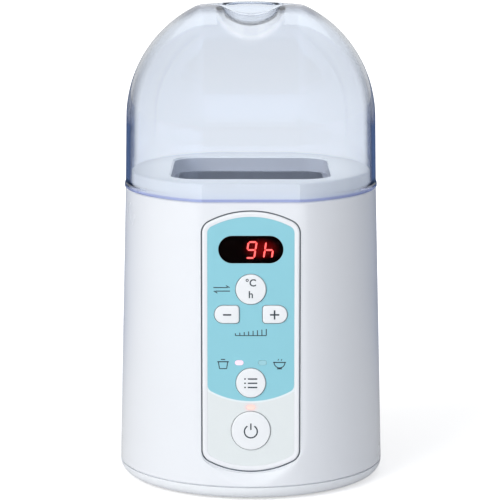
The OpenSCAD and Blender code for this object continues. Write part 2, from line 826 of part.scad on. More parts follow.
module transformer() color(yellow) on_power_board(-8, 30) {
    translate([0, -coil_width / 2 - 1, -coil_width / 2]) cube([2, coil_width + 2, coil_width]);
    translate([2, -coil_width * 0.4, -coil_width / 2]) cube([coil_depth, coil_width * 0.8, coil_width]);
    translate([4, -coil_width / 2, -coil_width * 0.35]) cube([coil_depth - 4, coil_width, coil_width * 0.7]);
}

module relay() color(dark_grey) on_power_board(12, 66)
    translate([0, -relay_width / 2, -relay_height / 2]) cube([10, relay_width, relay_height]);

module smoothing_capacitor() color(dark_grey) on_power_board(-10, 66) rotate([0, 90, 0]) {
    cylinder(r = capacitor_radius + 0.5, h = 0.8);
    cylinder(r = capacitor_radius, h = 10);
}

module terminal_block() color(pale_grey) on_power_board(18, 30) difference() {
    translate([0, -terminal_width / 2, -5]) cube([9, terminal_width, 10]);
    for (y = [-1, 1]) translate([5, y * terminal_width / 4, 0]) cylinder(r = 1.8, h = 10);
}

module ribbon_connectors() color(pale_grey) {
    at_flat(16, ribbon_low + 4, board_rear - 4) translate([-5, -5, 0]) cube([8, 10, 4]);
    translate([power_board_offset - 4, 2 - power_board_width / 2, ribbon_low - 1]) cube([4, 8, 10]);
}

// The cable runs flat from the control board, bends to the right and ends in the power board
module ribbon_cable() color(pale_grey) {
    y_board = -flat_reach(ribbon_low + 4) - board_rear + 1.6;
    y_power = 2 - power_board_width / 2;
    x_power = power_board_offset - 2.5;
    translate([0, 0, ribbon_low]) linear_extrude(height = 8)
        polygon([[19, y_board], [31, y_board], [x_power + 0.5, y_power - 10], [x_power + 0.5, y_power],
                 [x_power - 0.5, y_power], [x_power - 0.5, y_power - 9.6], [30.6, y_board + 1],
                 [19, y_board + 1]]);
}

// ---------- dome ----------

module dome_cover() color(clear_blue, 0.4) {
    difference() {
        union() {
            dome_solid(0, dome_foot);
            flatted_disc(rim_radius + dome_lip, flat_reach(body_height) + dome_lip,
                         dome_foot, dome_foot + dome_lip_height);
        }
        dome_solid(dome_wall, dome_foot - 1);
    }
}

outer_housing();
top_deck();
well_liner();
well_screws();
heater_pads();
heater_leads();
sensor_block();
thermistor();
thermal_fuse();
support_pad();
base_plate();
rubber_feet();
base_screws();
cord_gland();
control_panel();
panel_overlay();
display_window();
display_module();
display_segments();
unit_button();
minus_button();
plus_button();
menu_button();
start_button();
unit_stem();
minus_stem();
plus_stem();
menu_stem();
start_stem();
tact_switches();
indicator_leds();
indicator_lenses();
control_board();
control_board_screws();
control_board_chips();
power_board();
transformer();
relay();
smoothing_capacitor();
terminal_block();
ribbon_connectors();
ribbon_cable();
dome_cover();
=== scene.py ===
"""The looks of a yogurt maker with a clear lift-off dome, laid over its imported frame.

Lengths in the formulas are metres. The key panel faces -Y and the object stands on z = 0.
"""

import math
from functools import partial

import bmesh
import bpy
import numpy as np
from bpy.props import FloatProperty, FloatVectorProperty, PointerProperty
from mathutils import Color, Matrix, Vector


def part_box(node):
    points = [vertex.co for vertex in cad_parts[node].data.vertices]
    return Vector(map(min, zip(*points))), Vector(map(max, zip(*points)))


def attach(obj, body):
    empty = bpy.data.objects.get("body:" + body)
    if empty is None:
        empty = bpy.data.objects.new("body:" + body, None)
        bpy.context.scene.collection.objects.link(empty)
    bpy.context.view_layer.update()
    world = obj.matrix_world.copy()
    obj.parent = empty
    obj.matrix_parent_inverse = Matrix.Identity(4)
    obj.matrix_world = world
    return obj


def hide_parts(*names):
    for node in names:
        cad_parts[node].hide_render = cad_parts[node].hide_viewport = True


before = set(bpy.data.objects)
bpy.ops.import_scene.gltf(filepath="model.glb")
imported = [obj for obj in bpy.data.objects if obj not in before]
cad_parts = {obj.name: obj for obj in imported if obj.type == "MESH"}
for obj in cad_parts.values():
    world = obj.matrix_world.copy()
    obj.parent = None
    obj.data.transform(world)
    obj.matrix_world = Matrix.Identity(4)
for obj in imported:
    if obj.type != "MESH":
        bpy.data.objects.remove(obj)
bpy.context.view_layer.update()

bl_info = {
    "name": "Yogurt maker looks",
    "version": (1, 0, 0),
    "blender": (4, 5, 0),
    "location": "View3D > Sidebar > Yogurt maker",
    "description": "Builds the dressed pieces of a yogurt maker over its frame",
    "category": "Object",
}

MM = 0.001
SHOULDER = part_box("outer_housing")[1].z
DOME_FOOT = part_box("dome_cover")[0].z
# rays that look for a surface end here, outside every part of the body
OUTSIDE = 90 * MM
# how often the span of a ray is halved, which leaves it far shorter than WELD
HALVINGS = 34
# the points of a piece are welded on a grid this fine
WELD = 2e-7


def length(label, text, value):
    """A size in metres, given here in millimetres."""
    value *= MM
    return FloatProperty(name=label, description=text, default=value, unit="LENGTH", precision=5)


def tint(label, text, code):
    """A colour, given as a hex code."""
    light = linear(code)
    return FloatVectorProperty(name=label, description=text, default=light, subtype="COLOR", size=3)


def linear(code):
    """The linear light of a colour written as sRGB hex."""
    parts = [int(code[i : i + 2], 16) / 255 for i in (1, 3, 5)]
    return tuple(p / 12.92 if p <= 0.04045 else ((p + 0.055) / 1.055) ** 2.4 for p in parts)


class BodySizes(bpy.types.PropertyGroup):
    """Sizes of the moulded body."""

    rim: length("Shoulder radius", "Radius of the body at the shoulder", 72)
    seam: length("Seam radius", "Radius of the body at the seam", 76)
    seam_level: length("Seam height", "Height of the body's lower edge", 8.8)
    base_seam: length("Base edge height", "Height of the upper edge of the base", 8.2)
    wall: length("Wall", "Thickness of the moulded wall", 2.4)
    half_flat: length("Half flat", "Half the width of the flat bands", 29)
    foot_low: length("Flat foot", "Height of the lowest point of a flat", 14)
    foot_arc: length("Flat foot radius", "Radius of the arc that ends a flat", 45)
    foot_soft: length("Flat foot softness", "Width of the blend below a flat", 7)
    edge: length("Shoulder edge", "Rounding of the shoulder edge", 0.9)
    crease: length("Crease", "Width of the rounding along a flat's edge", 1.6)
    neck: length("Neck radius", "Radius of the neck opening", 64)
    neck_flat: length("Neck flat", "Distance of the neck flats from the middle", 58.1)
    gland_level: length("Gland height", "Height of the cord gland", 28)


class DomeSizes(bpy.types.PropertyGroup):
    """Sizes of the clear dome."""

    wall: length("Dome wall", "Thickness of the dome", 2)
    centre: length("Dome centre", "Height of the centre of the round top", 207.2)
    radius: length("Dome radius", "Radius of the round top", 71.4)
    fin_top: length("Fin top", "Height of the top of the grip fin", 274)
    fin_arch: length("Fin arch", "Radius of the arch along the fin", 180)
    fin_thick: length("Fin thickness", "Thickness of the grip fin", 8)
    scoop_floor: length("Scoop floor", "Height of the scoop floor at the fin", 267)
    scoop: length("Scoop radius", "Radius of the finger scoops", 30)
    crease: length("Crease", "Width of the rounding along the band edges", 1.4)
    lip: length("Lip", "How far the lip stands out at the foot", 0.5)


class PanelSizes(bpy.types.PropertyGroup):
    """Sizes of the key panel and what is on it."""

    half: length("Half width", "Half the width of the panel", 27)
    low: length("Low end", "Lowest point of the panel", 16.7)
    high: length("High end", "Highest point of the panel", 163.2)
    end_arc: length("End radius", "Radius of the arched ends", 50)
    corner: length("Corner", "Corner radius of the panel", 7)
    gap: length("Gap", "Gap around the panel and the keys", 0.35)
    pocket: length("Pocket depth", "Depth of the pocket under the panel", 2.2)
    margin: length("Margin", "White margin around the printed film", 2.8)
    rise: length("Key rise", "How far a key stands above the flat", 1)
    crown: length("Key crown", "How far the middle of a key is domed", 0.25)
    print_low: length("Print low", "Lowest point of the coloured print", 56.5)
    print_arc: length("Print radius", "Radius of the arc that ends the coloured print", 47)


class Colours(bpy.types.PropertyGroup):
    """Colours of the finishes."""

    shell: tint("Shell", "White moulded body", "#e9ecf1")
    deck: tint("Deck", "White deck under the dome", "#f1f3f5")
    dome: tint("Dome", "Clear blue dome", "#f8fbff")
    dome_edge: tint("Dome edge", "The dome where it is seen end-on", "#14254f")
    smoke: tint("Smoke", "Smoked window", "#7f5356")
    aqua: tint("Print", "Coloured field of the film", "#90cfdd")
    pale: tint("Lower print", "Pale field of the film", "#e3e9ea")
    ink: tint("Ink", "Dark printed marks", "#2b3842")
    key: tint("Keys", "White keys", "#eef1f4")
    lit: tint("Lit", "Lit segments", "#ff837c")


# ---------- numbers into meshes ----------


def smooth_max(a, b, k):
    """The larger of two fields with a rounding of width k.

    It is max(a, b) + k h^2 / 4, with h = max(0, 1 - |a - b| / k).
    """
    h = np.maximum(0, 1 - np.abs(a - b) / k)
    return np.maximum(a, b) + k * h * h / 4


def surface_point(field, start, way, near, far, *more):
    """Where rays start + t way leave a solid: halving between near and far finds field = 0."""
    near, far = (np.full(start.shape[:-1], float(v)) for v in (near, far))
    for _ in range(HALVINGS):
        middle = (near + far) / 2
        inside = field(start + middle[..., None] * way, *more) < 0
        near, far = np.where(inside, middle, near), np.where(inside, far, middle)
    return start + near[..., None] * way


def steps(*stops):
    """Places along a line, from stops that read place, count, place and so on.

    They are evenly spaced between two stops, and a shared end comes once.
    """
    pairs = range(0, len(stops) - 2, 2)
    runs = [np.linspace(stops[i], stops[i + 2], stops[i + 1], endpoint=False) for i in pairs]
    return np.append(np.concatenate(runs), stops[-1])


def grid_faces(rows, columns, row_wrap=False, column_wrap=False):
    """Corner numbers of the squares of a rows by columns grid, closed round in either way."""
    r = np.arange(rows if row_wrap else rows - 1)
    c = np.arange(columns if column_wrap else columns - 1)
    r, c = np.meshgrid(r, c, indexing="ij")
    r2, c2 = (r + 1) % rows, (c + 1) % columns
    corners = (r * columns + c, r * columns + c2, r2 * columns + c2, r2 * columns + c)
    return np.stack(corners, -1).reshape(-1, 4)


def put(name, data):
    """A new object of the scene that shows the data."""
    made = bpy.data.objects.new(name, data)
    bpy.context.scene.collection.objects.link(made)
    return made


def hand_over(name, mesh, look, body):
    """Makes a mesh a piece: its finish and the body that it rides on."""
    mesh.materials.clear()
    mesh.materials.append(look)
    piece = put(name, mesh)
    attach(piece, body)
    return piece


def make_piece(name, parts, body, look, replaces=(), sharp=38):
    """One welded mesh of (points, faces) parts, made a piece that rides on a body.

    Degenerate corners go, and it is smooth but for the edges over sharp degrees.
    """
    clouds = [np.reshape(p, (-1, 3)) for p, _ in parts]
    points = np.concatenate(clouds)
    starts = np.cumsum([0] + [len(p) for p in clouds])
    faces = np.concatenate([f + s for (_, f), s in zip(parts, starts)])
    cells = np.round(points / WELD).astype(np.int64)
    _, first, place = np.unique(cells, axis=0, return_index=True, return_inverse=True)
    faces = place.reshape(-1)[faces]
    same = faces == np.roll(faces, -1, axis=1)
    faces, same = faces[same.sum(1) <= 1], same[same.sum(1) <= 1]
    whole = same.sum(1) == 0
    keep = np.sort(np.argsort(same[~whole], axis=1, kind="stable")[:, :3], axis=1)
    corners = faces[whole].tolist() + np.take_along_axis(faces[~whole], keep, 1).tolist()
    mesh = bpy.data.meshes.new(name)
    mesh.from_pydata(points[first].tolist(), [], corners)
    mesh.validate()
    solid = bmesh.new()
    solid.from_mesh(mesh)
    bmesh.ops.recalc_face_normals(solid, faces=solid.faces)
    solid.to_mesh(mesh)
    solid.free()
    mesh.shade_smooth()
    mesh.set_sharp_from_angle(angle=math.radians(sharp))
    piece = hand_over(name, mesh, look, body)
    if replaces:
        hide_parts(*replaces)


def loft(loops, capped=False):
    """A skin over loops of equal count, closed on itself.

    Capped, it runs to the middle of both end loops instead.
    """
    loops = np.asarray(loops, float)
    if capped:
        low, high = (np.broadcast_to(loops[i].mean(0), loops[i].shape)[None] for i in (0, -1))
        loops = np.concatenate([low, loops, high])
    return loops, grid_faces(*loops.shape[:2], not capped, True)


def arcs(*pieces):
    """An outline of arcs joined by straight lines.

    Each arc reads centre x, y, radius, start and end in degrees, count.
    """
    outline = []
    for x, y, radius, start, end, count in pieces:
        a = np.radians(np.linspace(start, end, count))
        outline.append(np.stack([x + radius * np.cos(a), y + radius * np.sin(a)], -1))
    return np.concatenate(outline)


# ---------- the flats ----------


def body_reach(z, s):
    """Radius of the body's cone: it grows by the taper from the shoulder down to the seam."""
    return s.rim + (SHOULDER - z) * (s.seam - s.rim) / (SHOULDER - s.base_seam)


def flat_reach(z, s):
    """Distance of a flat from the middle, with its edges on the cone: sqrt(reach^2 - half^2)."""
    return np.sqrt(body_reach(z, s) ** 2 - s.half_flat**2)


def flat_frame(s):
    """The leaning plane of a flat: height and reach of its origin, cosine and sine of its lean."""
    level, foot = 90 * MM, 20 * MM
    lean = math.atan((flat_reach(foot, s) - flat_reach(SHOULDER, s)) / (SHOULDER - foot))
    return level, flat_reach(level, s), math.cos(lean), math.sin(lean)


def on_flat(x, y, n, side=-1):
    """A place on the leaning flat: x across, y its height, n out of it.

    side is -1 in front and 1 at the back.
    """
    level, reach, cos, sin = flat_frame(bpy.context.scene.yogurt_body)
    x, y, n = np.broadcast_arrays(x, y, n)
    up = y - level
    return np.stack([x, side * (reach - up * sin + n * cos), level + up * cos + n * sin], -1)


def flat_depth(p, s):
    """How far a point is in front of the nearer flat."""
    level, reach, cos, sin = flat_frame(s)
    return (np.abs(p[..., 1]) - reach) * cos + (p[..., 2] - level) * sin


def body_field(p, s, inset=0.0):
    """The body as a field: the cone with two flats, whose round foot flares out, softly blended."""
    flare = 0.6
    cone = np.hypot(p[..., 0], p[..., 1]) - body_reach(p[..., 2], s) + inset
    depth = flat_depth(p, s) + inset
    centre = s.foot_low + s.foot_arc
    reach = s.foot_arc + flare * np.maximum(depth, 0)
    below = np.hypot(p[..., 0], p[..., 2] - centre) - reach
    foot = np.where(p[..., 2] > centre, np.abs(p[..., 0]) - reach, below)
    cut = smooth_max(-depth, foot, s.foot_soft)
    return smooth_max(cone, -cut, s.crease)


def panel_field(p, grow, q):
    """The panel outline as a flat field: arched ends and round corners, drawn larger by grow."""
    half, arc = q.half - q.corner, q.end_arc - q.corner
    x, y = np.abs(p[..., 0]), np.abs(p[..., 1] - (q.low + q.high) / 2)
    centre = (q.high - q.low) / 2 - q.end_arc
    rise = math.sqrt(arc**2 - half**2)
    side, up = x - half, np.hypot(x, y - centre)
    at_corner = (side > -1e-9) & (y > centre + rise) & (x * arc > half * up)
    straight = np.maximum(side, np.where(y > centre, up - arc, -1))
    return np.where(at_corner, np.hypot(side, y - centre - rise), straight) - q.corner - grow


def panel_outline(q, grow, count=44):
    """The panel outline as points: two arched ends and four round corners, drawn larger by grow."""
    half, arc, corner = q.half - q.corner, q.end_arc + grow, q.corner + grow
    rise = math.sqrt((q.end_arc - q.corner) ** 2 - half**2)
    lean = math.degrees(math.atan2(rise, half))
    top, low = q.high - q.end_arc, q.low + q.end_arc
    return arcs(
        (half, top + rise, corner, 0, lean, 12),
        (0, top, arc, lean + 0.5, 179.5 - lean, count),
        (-half, top + rise, corner, 180 - lean, 180, 12),
        (-half, low - rise, corner, 180, 180 + lean, 12),
        (0, low, arc, 180.5 + lean, 359.5 - lean, count),
        (half, low - rise, corner, 360 - lean, 360, 12),
    )


# ---------- finishes ----------


def rgba(colour):
    """A colour with full opacity, from linear numbers or from sRGB hex."""
    return (*(linear(colour) if isinstance(colour, str) else colour)[:3], 1.0)


def feed(node, values):
    """Gives a node's inputs, by name or in order, a socket, a plain value or a colour each."""
    for key, value in values.items() if isinstance(values, dict) else enumerate(values):
        if isinstance(value, bpy.types.NodeSocket):
            node.id_data.links.new(value, node.inputs[key])
        else:
            coloured = isinstance(value, (str, Color))
            node.inputs[key].default_value = rgba(value) if coloured else value


def add_to(tree, kind, values=(), out=None, **settings):
    """Adds one node with its settings and inputs; gives its output out, or its first live one."""
    made = tree.nodes.new("ShaderNode" + kind)
    for key, value in settings.items():
        setattr(made, key, value)
    feed(made, values)
    return made.outputs[out] if out else next(each for each in made.outputs if each.enabled)


def layered(add, base, *coats):
    """A colour under coats, each a share (0 to 1) and a colour: base (1 - share) + colour share."""
    for share, colour in coats:
        base = add("Mix", {0: share, "A": base, "B": colour}, data_type="RGBA")
    return base


def within(add, *tests):
    """One where every test (value, limit, comparison) holds, else zero: the tests' product."""
    first, *others = (add("Math", (value, limit), operation=kind) for value, limit, kind in tests)
    for each in others:
        first = add("Math", (first, each), operation="MULTIPLY")
    return first


def blank(name):
    """A new material, what adds nodes to it, its shader and the place that its patterns read."""
    made = bpy.data.materials.new(name)
    made.use_nodes = True
    add = partial(add_to, made.node_tree)
    return made, add, made.node_tree.nodes["Principled BSDF"], add("TexCoord", out="Object")


def reopen(made):
    """What adds nodes to a finish that gets more, its shader, its colour so far and the place."""
    add, shader = partial(add_to, made.node_tree), made.node_tree.nodes["Principled BSDF"]
    colour = shader.inputs["Base Color"].links[0].from_socket
    return add, shader, colour, add("TexCoord", out="Object")


def finish(name, colour, roughness, grain, grain_mm, drift, drift_mm, stretch=(1, 1, 1), **shine):
    """A finish whose colour and roughness drift over drift_mm, with a bump grained by grain_mm."""
    made, add, shader, place = blank(name)
    colour = rgba(colour)
    dark = rgba([c * (1 - drift) for c in colour])
    place = add("Mapping", {"Vector": place, "Scale": stretch})
    cloud = add("TexNoise", {"Vector": place, "Scale": 1 / (drift_mm * MM), "Detail": 3.0})
    shade = layered(add, dark, (cloud, colour))
    rough = add("MapRange", (cloud, 0, 1, roughness * 0.88, min(1.0, roughness * 1.12)))
    fine = add("TexNoise", {"Vector": place, "Scale": 1 / (grain_mm * MM), "Detail": 2.0})
    bump = add("Bump", {"Height": fine, "Strength": grain, "Distance": 0.1 * MM})
    feed(shader, {"Base Color": shade, "Roughness": rough, "Normal": bump})
    feed(shader, {key.replace("_", " "): value for key, value in shine.items()})
    return made


def clear_finish(name, colour, edge, roughness, mirror, density=0.0, soak="#ffffff"):
    """Clear moulded plastic: it bends what is behind it and lets the lamps through.

    It darkens to edge where it is seen end-on, partly for its tint over the long path and partly as
    painted dark reflection. The share of edge is a smooth step of Facing, times a factor that falls
    up the dome and rises again at the grip.
    """
    made, add, shader, place = blank(name)
    cloud = add("TexNoise", {"Vector": place, "Scale": 30.0, "Detail": 2.0})
    rough = add("MapRange", (cloud, 0, 1, roughness * 0.7, roughness * 1.3))
    turned = add("LayerWeight", {"Blend": 0.5}, "Facing")
    share = add("MapRange", (turned, 0.62, 0.76), interpolation_type="SMOOTHSTEP")
    height = add("SeparateXYZ", (place,), "Z")
    upper = add("MapRange", (height, 205 * MM, 250 * MM, 1.0, 0.1))
    grip = add("MapRange", (height, 262 * MM, 268 * MM, 0.0, 0.7))
    factor = add("Math", (upper, grip), operation="ADD")
    share = add("Math", (share, factor), operation="MULTIPLY")
    # partly painted: the end-on darkening stands in for dark reflections as well as the tint over
    # the long path
    shade = layered(add, colour, (share, edge))
    output = made.node_tree.nodes["Material Output"]
    if density:
        # the lowest 1.3 mm is tinted lavender, drawing a line along the foot
        low = within(add, (height, DOME_FOOT + 1.3 * MM, "LESS_THAN"))
        shade = layered(add, shade, (low, "#c4caee"))
        soaked = add("VolumeAbsorption", {"Color": soak, "Density": density})
        feed(output, {"Volume": soaked})
    feed(shader, {"Base Color": shade, "Roughness": rough, "IOR": 1.5, "Transmission Weight": 1.0})
    feed(shader, {"Specular Tint": rgba(mirror)})
    lamp = add("LightPath", out="Is Shadow Ray")
    through = add("BsdfTransparent", {"Color": rgba([0.9 + 0.1 * c for c in colour])})
    feed(output, {"Surface": add("MixShader", (lamp, shader.outputs[0], through))})
    return made


def glow_finish(name, colour, strength):
    """A lit part: coloured light behind a smooth plastic face, a little uneven as from one lamp."""
    made, add, shader, place = blank(name)
    cloud = add("TexNoise", {"Vector": place, "Scale": 900.0, "Detail": 1.0})
    dim, unlit = (rgba([c * share for c in colour]) for share in (0.8, 0.5))
    shade = layered(add, dim, (cloud, colour))
    feed(shader, {"Emission Color": shade, "Base Color": unlit, "Emission Strength": strength})
    feed(shader, {"Roughness": 0.4})
    return made


def dress(look, *nodes):
    """Gives carried-over nodes a finish in every slot that they have."""
    for node in nodes:
        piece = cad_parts[node]
        if not piece.material_slots:
            piece.data.materials.append(look)
        for each in piece.material_slots:
            each.material = look


# ---------- the pieces ----------


class YOGURT_OT_dome(bpy.types.Operator):
    """The clear dome with its grip fin and finger scoops"""

    bl_idname = "yogurt.dome"
    bl_label = "Clear dome"

    def execute(self, context):
        scene = context.scene
        d, s, c = scene.yogurt_dome, scene.yogurt_body, scene.yogurt_colours
        near, far = 50 * MM, 85 * MM
        # rays in degrees to each side, denser at the edges of the band (beta) and at the fin (alpha)
        edge = math.degrees(math.asin(s.half_flat / d.radius))
        half = steps(0, 34, edge - 1.2, 8, edge + 1.2, 6, edge + 8, 26, 90)
        beta = np.radians(np.concatenate([-half[::-1], half[1:]]))
        half = steps(0, 5, 3.0, 12, 4.2, 8, 6.5, 44, 42, 22, 90)
        alpha = np.radians(np.concatenate([-half[::-1], half[1:]]))
        lip = DOME_FOOT + 2.2 * MM
        lip_top, lip_slope, foot_inset = lip + 0.9 * MM, 1.2 * MM, 0.25 * MM
        low_steps = (lip_top, 6, lip - 0.1 * MM, 3, DOME_FOOT + 0.3 * MM, 3, DOME_FOOT)
        z = steps(d.centre, 16, *low_steps)[1:]
        bulge = np.clip((lip_top - z) / lip_slope, 0, 1) * d.lip
        bulge = bulge - foot_inset * (z < DOME_FOOT + 0.1 * MM)
        across = np.broadcast_to(np.sin(beta)[None], (alpha.size, beta.size))
        over = [np.cos(beta)[None] * turn(alpha)[:, None] for turn in (np.sin, np.cos)]
        ways = np.stack([across, *over], -1)
        shells = []
        for inset in (0.0, d.wall):
            start = np.broadcast_to(np.array([0, 0, d.centre]), ways.shape)
            cap = surface_point(self.field, start, ways, near, far, inset, d, s)
            sides = []
            for side in (-1, 1):
                way = np.stack([np.sin(beta), side * np.cos(beta), 0 * beta], -1)
                way = np.broadcast_to(way[None], (z.size, beta.size, 3))
                start = np.zeros_like(way) + z[:, None, None] * np.array([0, 0, 1])
                wall = surface_point(self.field, start, way, near, far, inset, d, s)
                sides.append(wall + (bulge * (inset == 0))[:, None, None] * way)
            shells.append(np.concatenate([sides[0][::-1], cap, sides[1]]))
        outer, inner = shells
        skin, rim = grid_faces(*outer.shape[:2]), grid_faces(2, outer.shape[1])
        feet = np.stack([outer[0], inner[0]]), np.stack([inner[-1], outer[-1]])
        parts = [(outer, skin), (inner, skin), *((foot, rim) for foot in feet)]
        # polycarbonate, polished in the mould: it bends what is behind it a little, and where the
        # wall is seen end-on, at the sides, foot and grip, it darkens to a deep blue line, partly
        # its tint over the long path and partly painted dark reflection
        name, mirror = "clear blue polycarbonate", (0.5, 0.66, 0.95)
        clear = clear_finish(name, c.dome, c.dome_edge, 0.02, mirror, 30.0, "#7a9fc8")
        make_piece("dome_shell", parts, "lid", clear, ("dome_cover",), sharp=50)
        return {"FINISHED"}

    @staticmethod
    def field(p, inset, d, s):
        """Round top and cone wall, cut to the band, with the fin added and both scoops cut out."""
        x, y, z = np.abs(p[..., 0]), np.abs(p[..., 1]), p[..., 2]
        up = z - d.centre
        high = np.maximum(up, 0)
        share = np.clip(-up / (d.centre - DOME_FOOT), 0, 1)
        round_reach = d.radius + share * (s.rim - d.radius)
        band = math.sqrt(d.radius**2 - s.half_flat**2)
        band_reach = band + share * (flat_reach(SHOULDER, s) - band)
        top = np.sqrt(x**2 + y**2 + high**2) - round_reach + inset
        strip = np.hypot(y, high) - band_reach + inset
        shell = smooth_max(top, strip, d.crease)
        fin_end, fin_root = 26 * MM, d.centre + 10 * MM
        # widths of the roundings
        fin_side, fin_tip, fin_foot, scoop_wall, scoop_rim = (v * MM for v in (2.2, 2, 1, 1.6, 1.3))
        arch = np.hypot(x, z - d.fin_top + d.fin_arch) - d.fin_arch + inset
        fin = smooth_max(arch, y - d.fin_thick / 2 + inset, fin_side)
        fin = smooth_max(fin, x - fin_end, fin_tip)
        solid = -smooth_max(-shell, -np.maximum(fin, fin_root - z), fin_foot)
        slope = math.radians(15)
        rise = z - d.scoop_floor - d.scoop / math.cos(slope)
        trough = np.hypot(x, rise * math.cos(slope) + (y - d.fin_thick / 2) * math.sin(slope))
        scoop = smooth_max(trough - d.scoop - 0.45 * inset, d.fin_thick / 2 - inset - y, scoop_wall)
        return smooth_max(solid, -scoop, scoop_rim)


def window_ring(outside, spine, rim_field, rises, side, back, *more):
    """A hole's edge between a grid window and an outline, which rays from the spine find.

    Six rings lie on the body between the two. Then each of rises is the outline once more, grown
    by so much and so far out of the flat.
    """
    s = bpy.context.scene.yogurt_body
    feet = np.stack([0 * outside[:, 0], np.clip(outside[:, 1], *spine)], -1)
    way = outside - feet
    way = way / np.linalg.norm(way, axis=1, keepdims=True)
    rims = [surface_point(rim_field, feet, way, 0, 0.2, grow, *more) for grow, _ in rises]
    loops = []
    for share in np.linspace(0, 1, 6, endpoint=False):
        flat = outside * (1 - share) + rims[0] * share
        start = np.stack([flat[:, 0], 0 * flat[:, 0], flat[:, 1]], -1)
        loops.append(surface_point(body_field, start, np.array([0, side, 0.0]), 0.0, OUTSIDE, s))
    loops += [on_flat(flat[:, 0], flat[:, 1], n, side) for flat, (_, n) in zip(rims, rises)]
    loops.append(back)
    return np.array(loops), grid_faces(len(loops), outside.shape[0], False, True)


def gland_field(p, grow, level):
    """A circle round the gland's place on the rear flat."""
    return np.hypot(p[:, 0], p[:, 1] - level) - grow


class YOGURT_OT_body(bpy.types.Operator):
    """The tapered white body with its front and back flats, panel pocket and gland hole"""

    bl_idname = "yogurt.body"
    bl_label = "Moulded body"

    def execute(self, context):
        scene = context.scene
        s, q, c = scene.yogurt_body, scene.yogurt_panel, scene.yogurt_colours
        wide, past = 28.2 * MM, 31.5 * MM
        pocket_low, pocket_high = 15.4 * MM, 165.6 * MM
        gland_low, gland_high, gland_wide = 16 * MM, 40 * MM, 12 * MM
        x = steps(-past, 12, -wide, 22, wide, 12, past)
        x = np.unique(np.round(np.concatenate([x, [-gland_wide, gland_wide]]), 7))
        sweep = steps(0, 6, 0.08, 44, 0.92, 6, 1)[1:-1]
        low_steps = (42 * MM, 12, 28 * MM, 22, pocket_low, 8, s.seam_level + 0.3 * MM)
        z = steps(SHOULDER - s.edge, 3, pocket_high, 22, 150 * MM, 26, *low_steps)
        z = np.unique(np.round(np.concatenate([z, [gland_high, gland_low]]), 7))[::-1]

        def column_ring(level, inset):
            """Points round one height: at equal x on the flats, by angle on the round sides."""
            reach = body_reach(level, s)
            flat = np.stack([x, 0 * x, 0 * x + level], -1)
            front = surface_point(body_field, flat, np.array([0, -1.0, 0]), 0.0, OUTSIDE, s, inset)
            start = np.arcsin(x[-1] / reach)
            turn = start + sweep * (np.pi - 2 * start)
            side = np.stack([np.sin(turn), -np.cos(turn)], -1) * (reach - inset)
            side = np.concatenate([side, 0 * side[:, :1] + level], 1)
            back = front[::-1] * [1, -1, 1]
            return np.concatenate([front, side, back, side[::-1] * [-1, 1, 1]])

        def neck(ring, level, grow=0.0):
            """The neck edge on the same spokes: the nearer of a circle and two flats."""
            way = ring[:, :2] / np.linalg.norm(ring[:, :2], axis=1, keepdims=True)
            ahead = np.maximum(np.abs(way[:, 1]), 1e-6)
            reach = np.minimum(s.neck + grow, (s.neck_flat + grow) / ahead)
            return np.concatenate([way * reach[:, None], np.full((len(way), 1), level)], 1)

        e = s.edge
        turns = np.radians(np.linspace(90, 0, 6))
        bend = [(SHOULDER - e + e * math.sin(a), e * (1 - math.cos(a))) for a in turns]
        shoulder = [column_ring(level, inset) for level, inset in bend]
        outer = [column_ring(level, 0.0) for level in z[1:]]
        low = [column_ring(s.seam_level, 0.3 * MM)]
        inner = [column_ring(level, s.wall) for level in [s.seam_level, *z[1:][::-1]]]
        inner_top = column_ring(SHOULDER - s.wall, s.wall)
        necks = [neck(inner_top, SHOULDER - s.wall), neck(inner_top, SHOULDER - 0.3 * MM)]
        necks.append(neck(inner_top, SHOULDER, 0.3 * MM))
        rows = shoulder + outer + low + inner + [inner_top] + necks
        grid = np.array(rows)
        count = grid.shape[1]
        faces = grid_faces(len(rows), count, True, True)
        first_outer = len(shoulder) - 1
        levels = np.concatenate([[SHOULDER - e], z[1:]])
        inner_start = len(shoulder) + len(outer) + 1
        face_r, face_c = np.divmod(np.arange(len(faces)), count)

        def window(reach, low, high, side):
            """Loops round a window of the grid, outside and inside, and the faces it takes away."""
            close = 1e-6
            columns = np.flatnonzero(np.abs(x) < reach + close)
            between = np.flatnonzero((levels > low - close) & (levels < high + close))
            a, b, top, foot = columns[0], columns[-1], between[0], between[-1]
            right, left = np.full(foot - top, b), np.full(foot - top, a)
            loop_c = np.concatenate([np.arange(a, b), right, np.arange(b, a, -1), left])
            upper, lower = np.full(b - a, top), np.full(b - a, foot)
            loop_r = np.concatenate([upper, np.arange(top, foot), lower, np.arange(foot, top, -1)])
            if side > 0:
                loop_c = x.size + sweep.size + (x.size - 1 - loop_c)
            in_rows = inner_start + len(z) - loop_r
            inside = grid[np.where(loop_r == 0, inner_start + len(z) - 1, in_rows), loop_c]
            spans = (first_outer + top, first_outer + foot), (in_rows.min(), in_rows.max())
            rows_in = np.logical_or(*((face_r >= first) & (face_r < last) for first, last in spans))
            hole = rows_in & (face_c >= loop_c.min()) & (face_c < loop_c.max())
            return grid[first_outer + loop_r, loop_c][:, [0, 2]], inside, hole

        g, depth = q.gap + 0.35 * MM, q.pocket
        outside, inside, hole = window(wide, pocket_low, pocket_high, -1)
        middle, half = (q.low + q.high) / 2, q.half - q.corner
        tall = (q.high - q.low) / 2 - q.end_arc + math.sqrt((q.end_arc - q.corner) ** 2 - half**2)
        spine = (middle - tall, middle + tall)
        rises = [(g + 0.45 * MM, 0), (g + 0.12 * MM, -0.06 * MM), (g, -0.35 * MM), (g, -depth)]
        ledge, under = -5 * MM, -depth - 1.8 * MM
        rises += [(ledge, -depth), (ledge, under)]
        parts = [window_ring(outside, spine, panel_field, rises, -1, inside, q)]
        outside, inside, rear = window(gland_wide, gland_low, gland_high, 1)
        level = s.gland_level
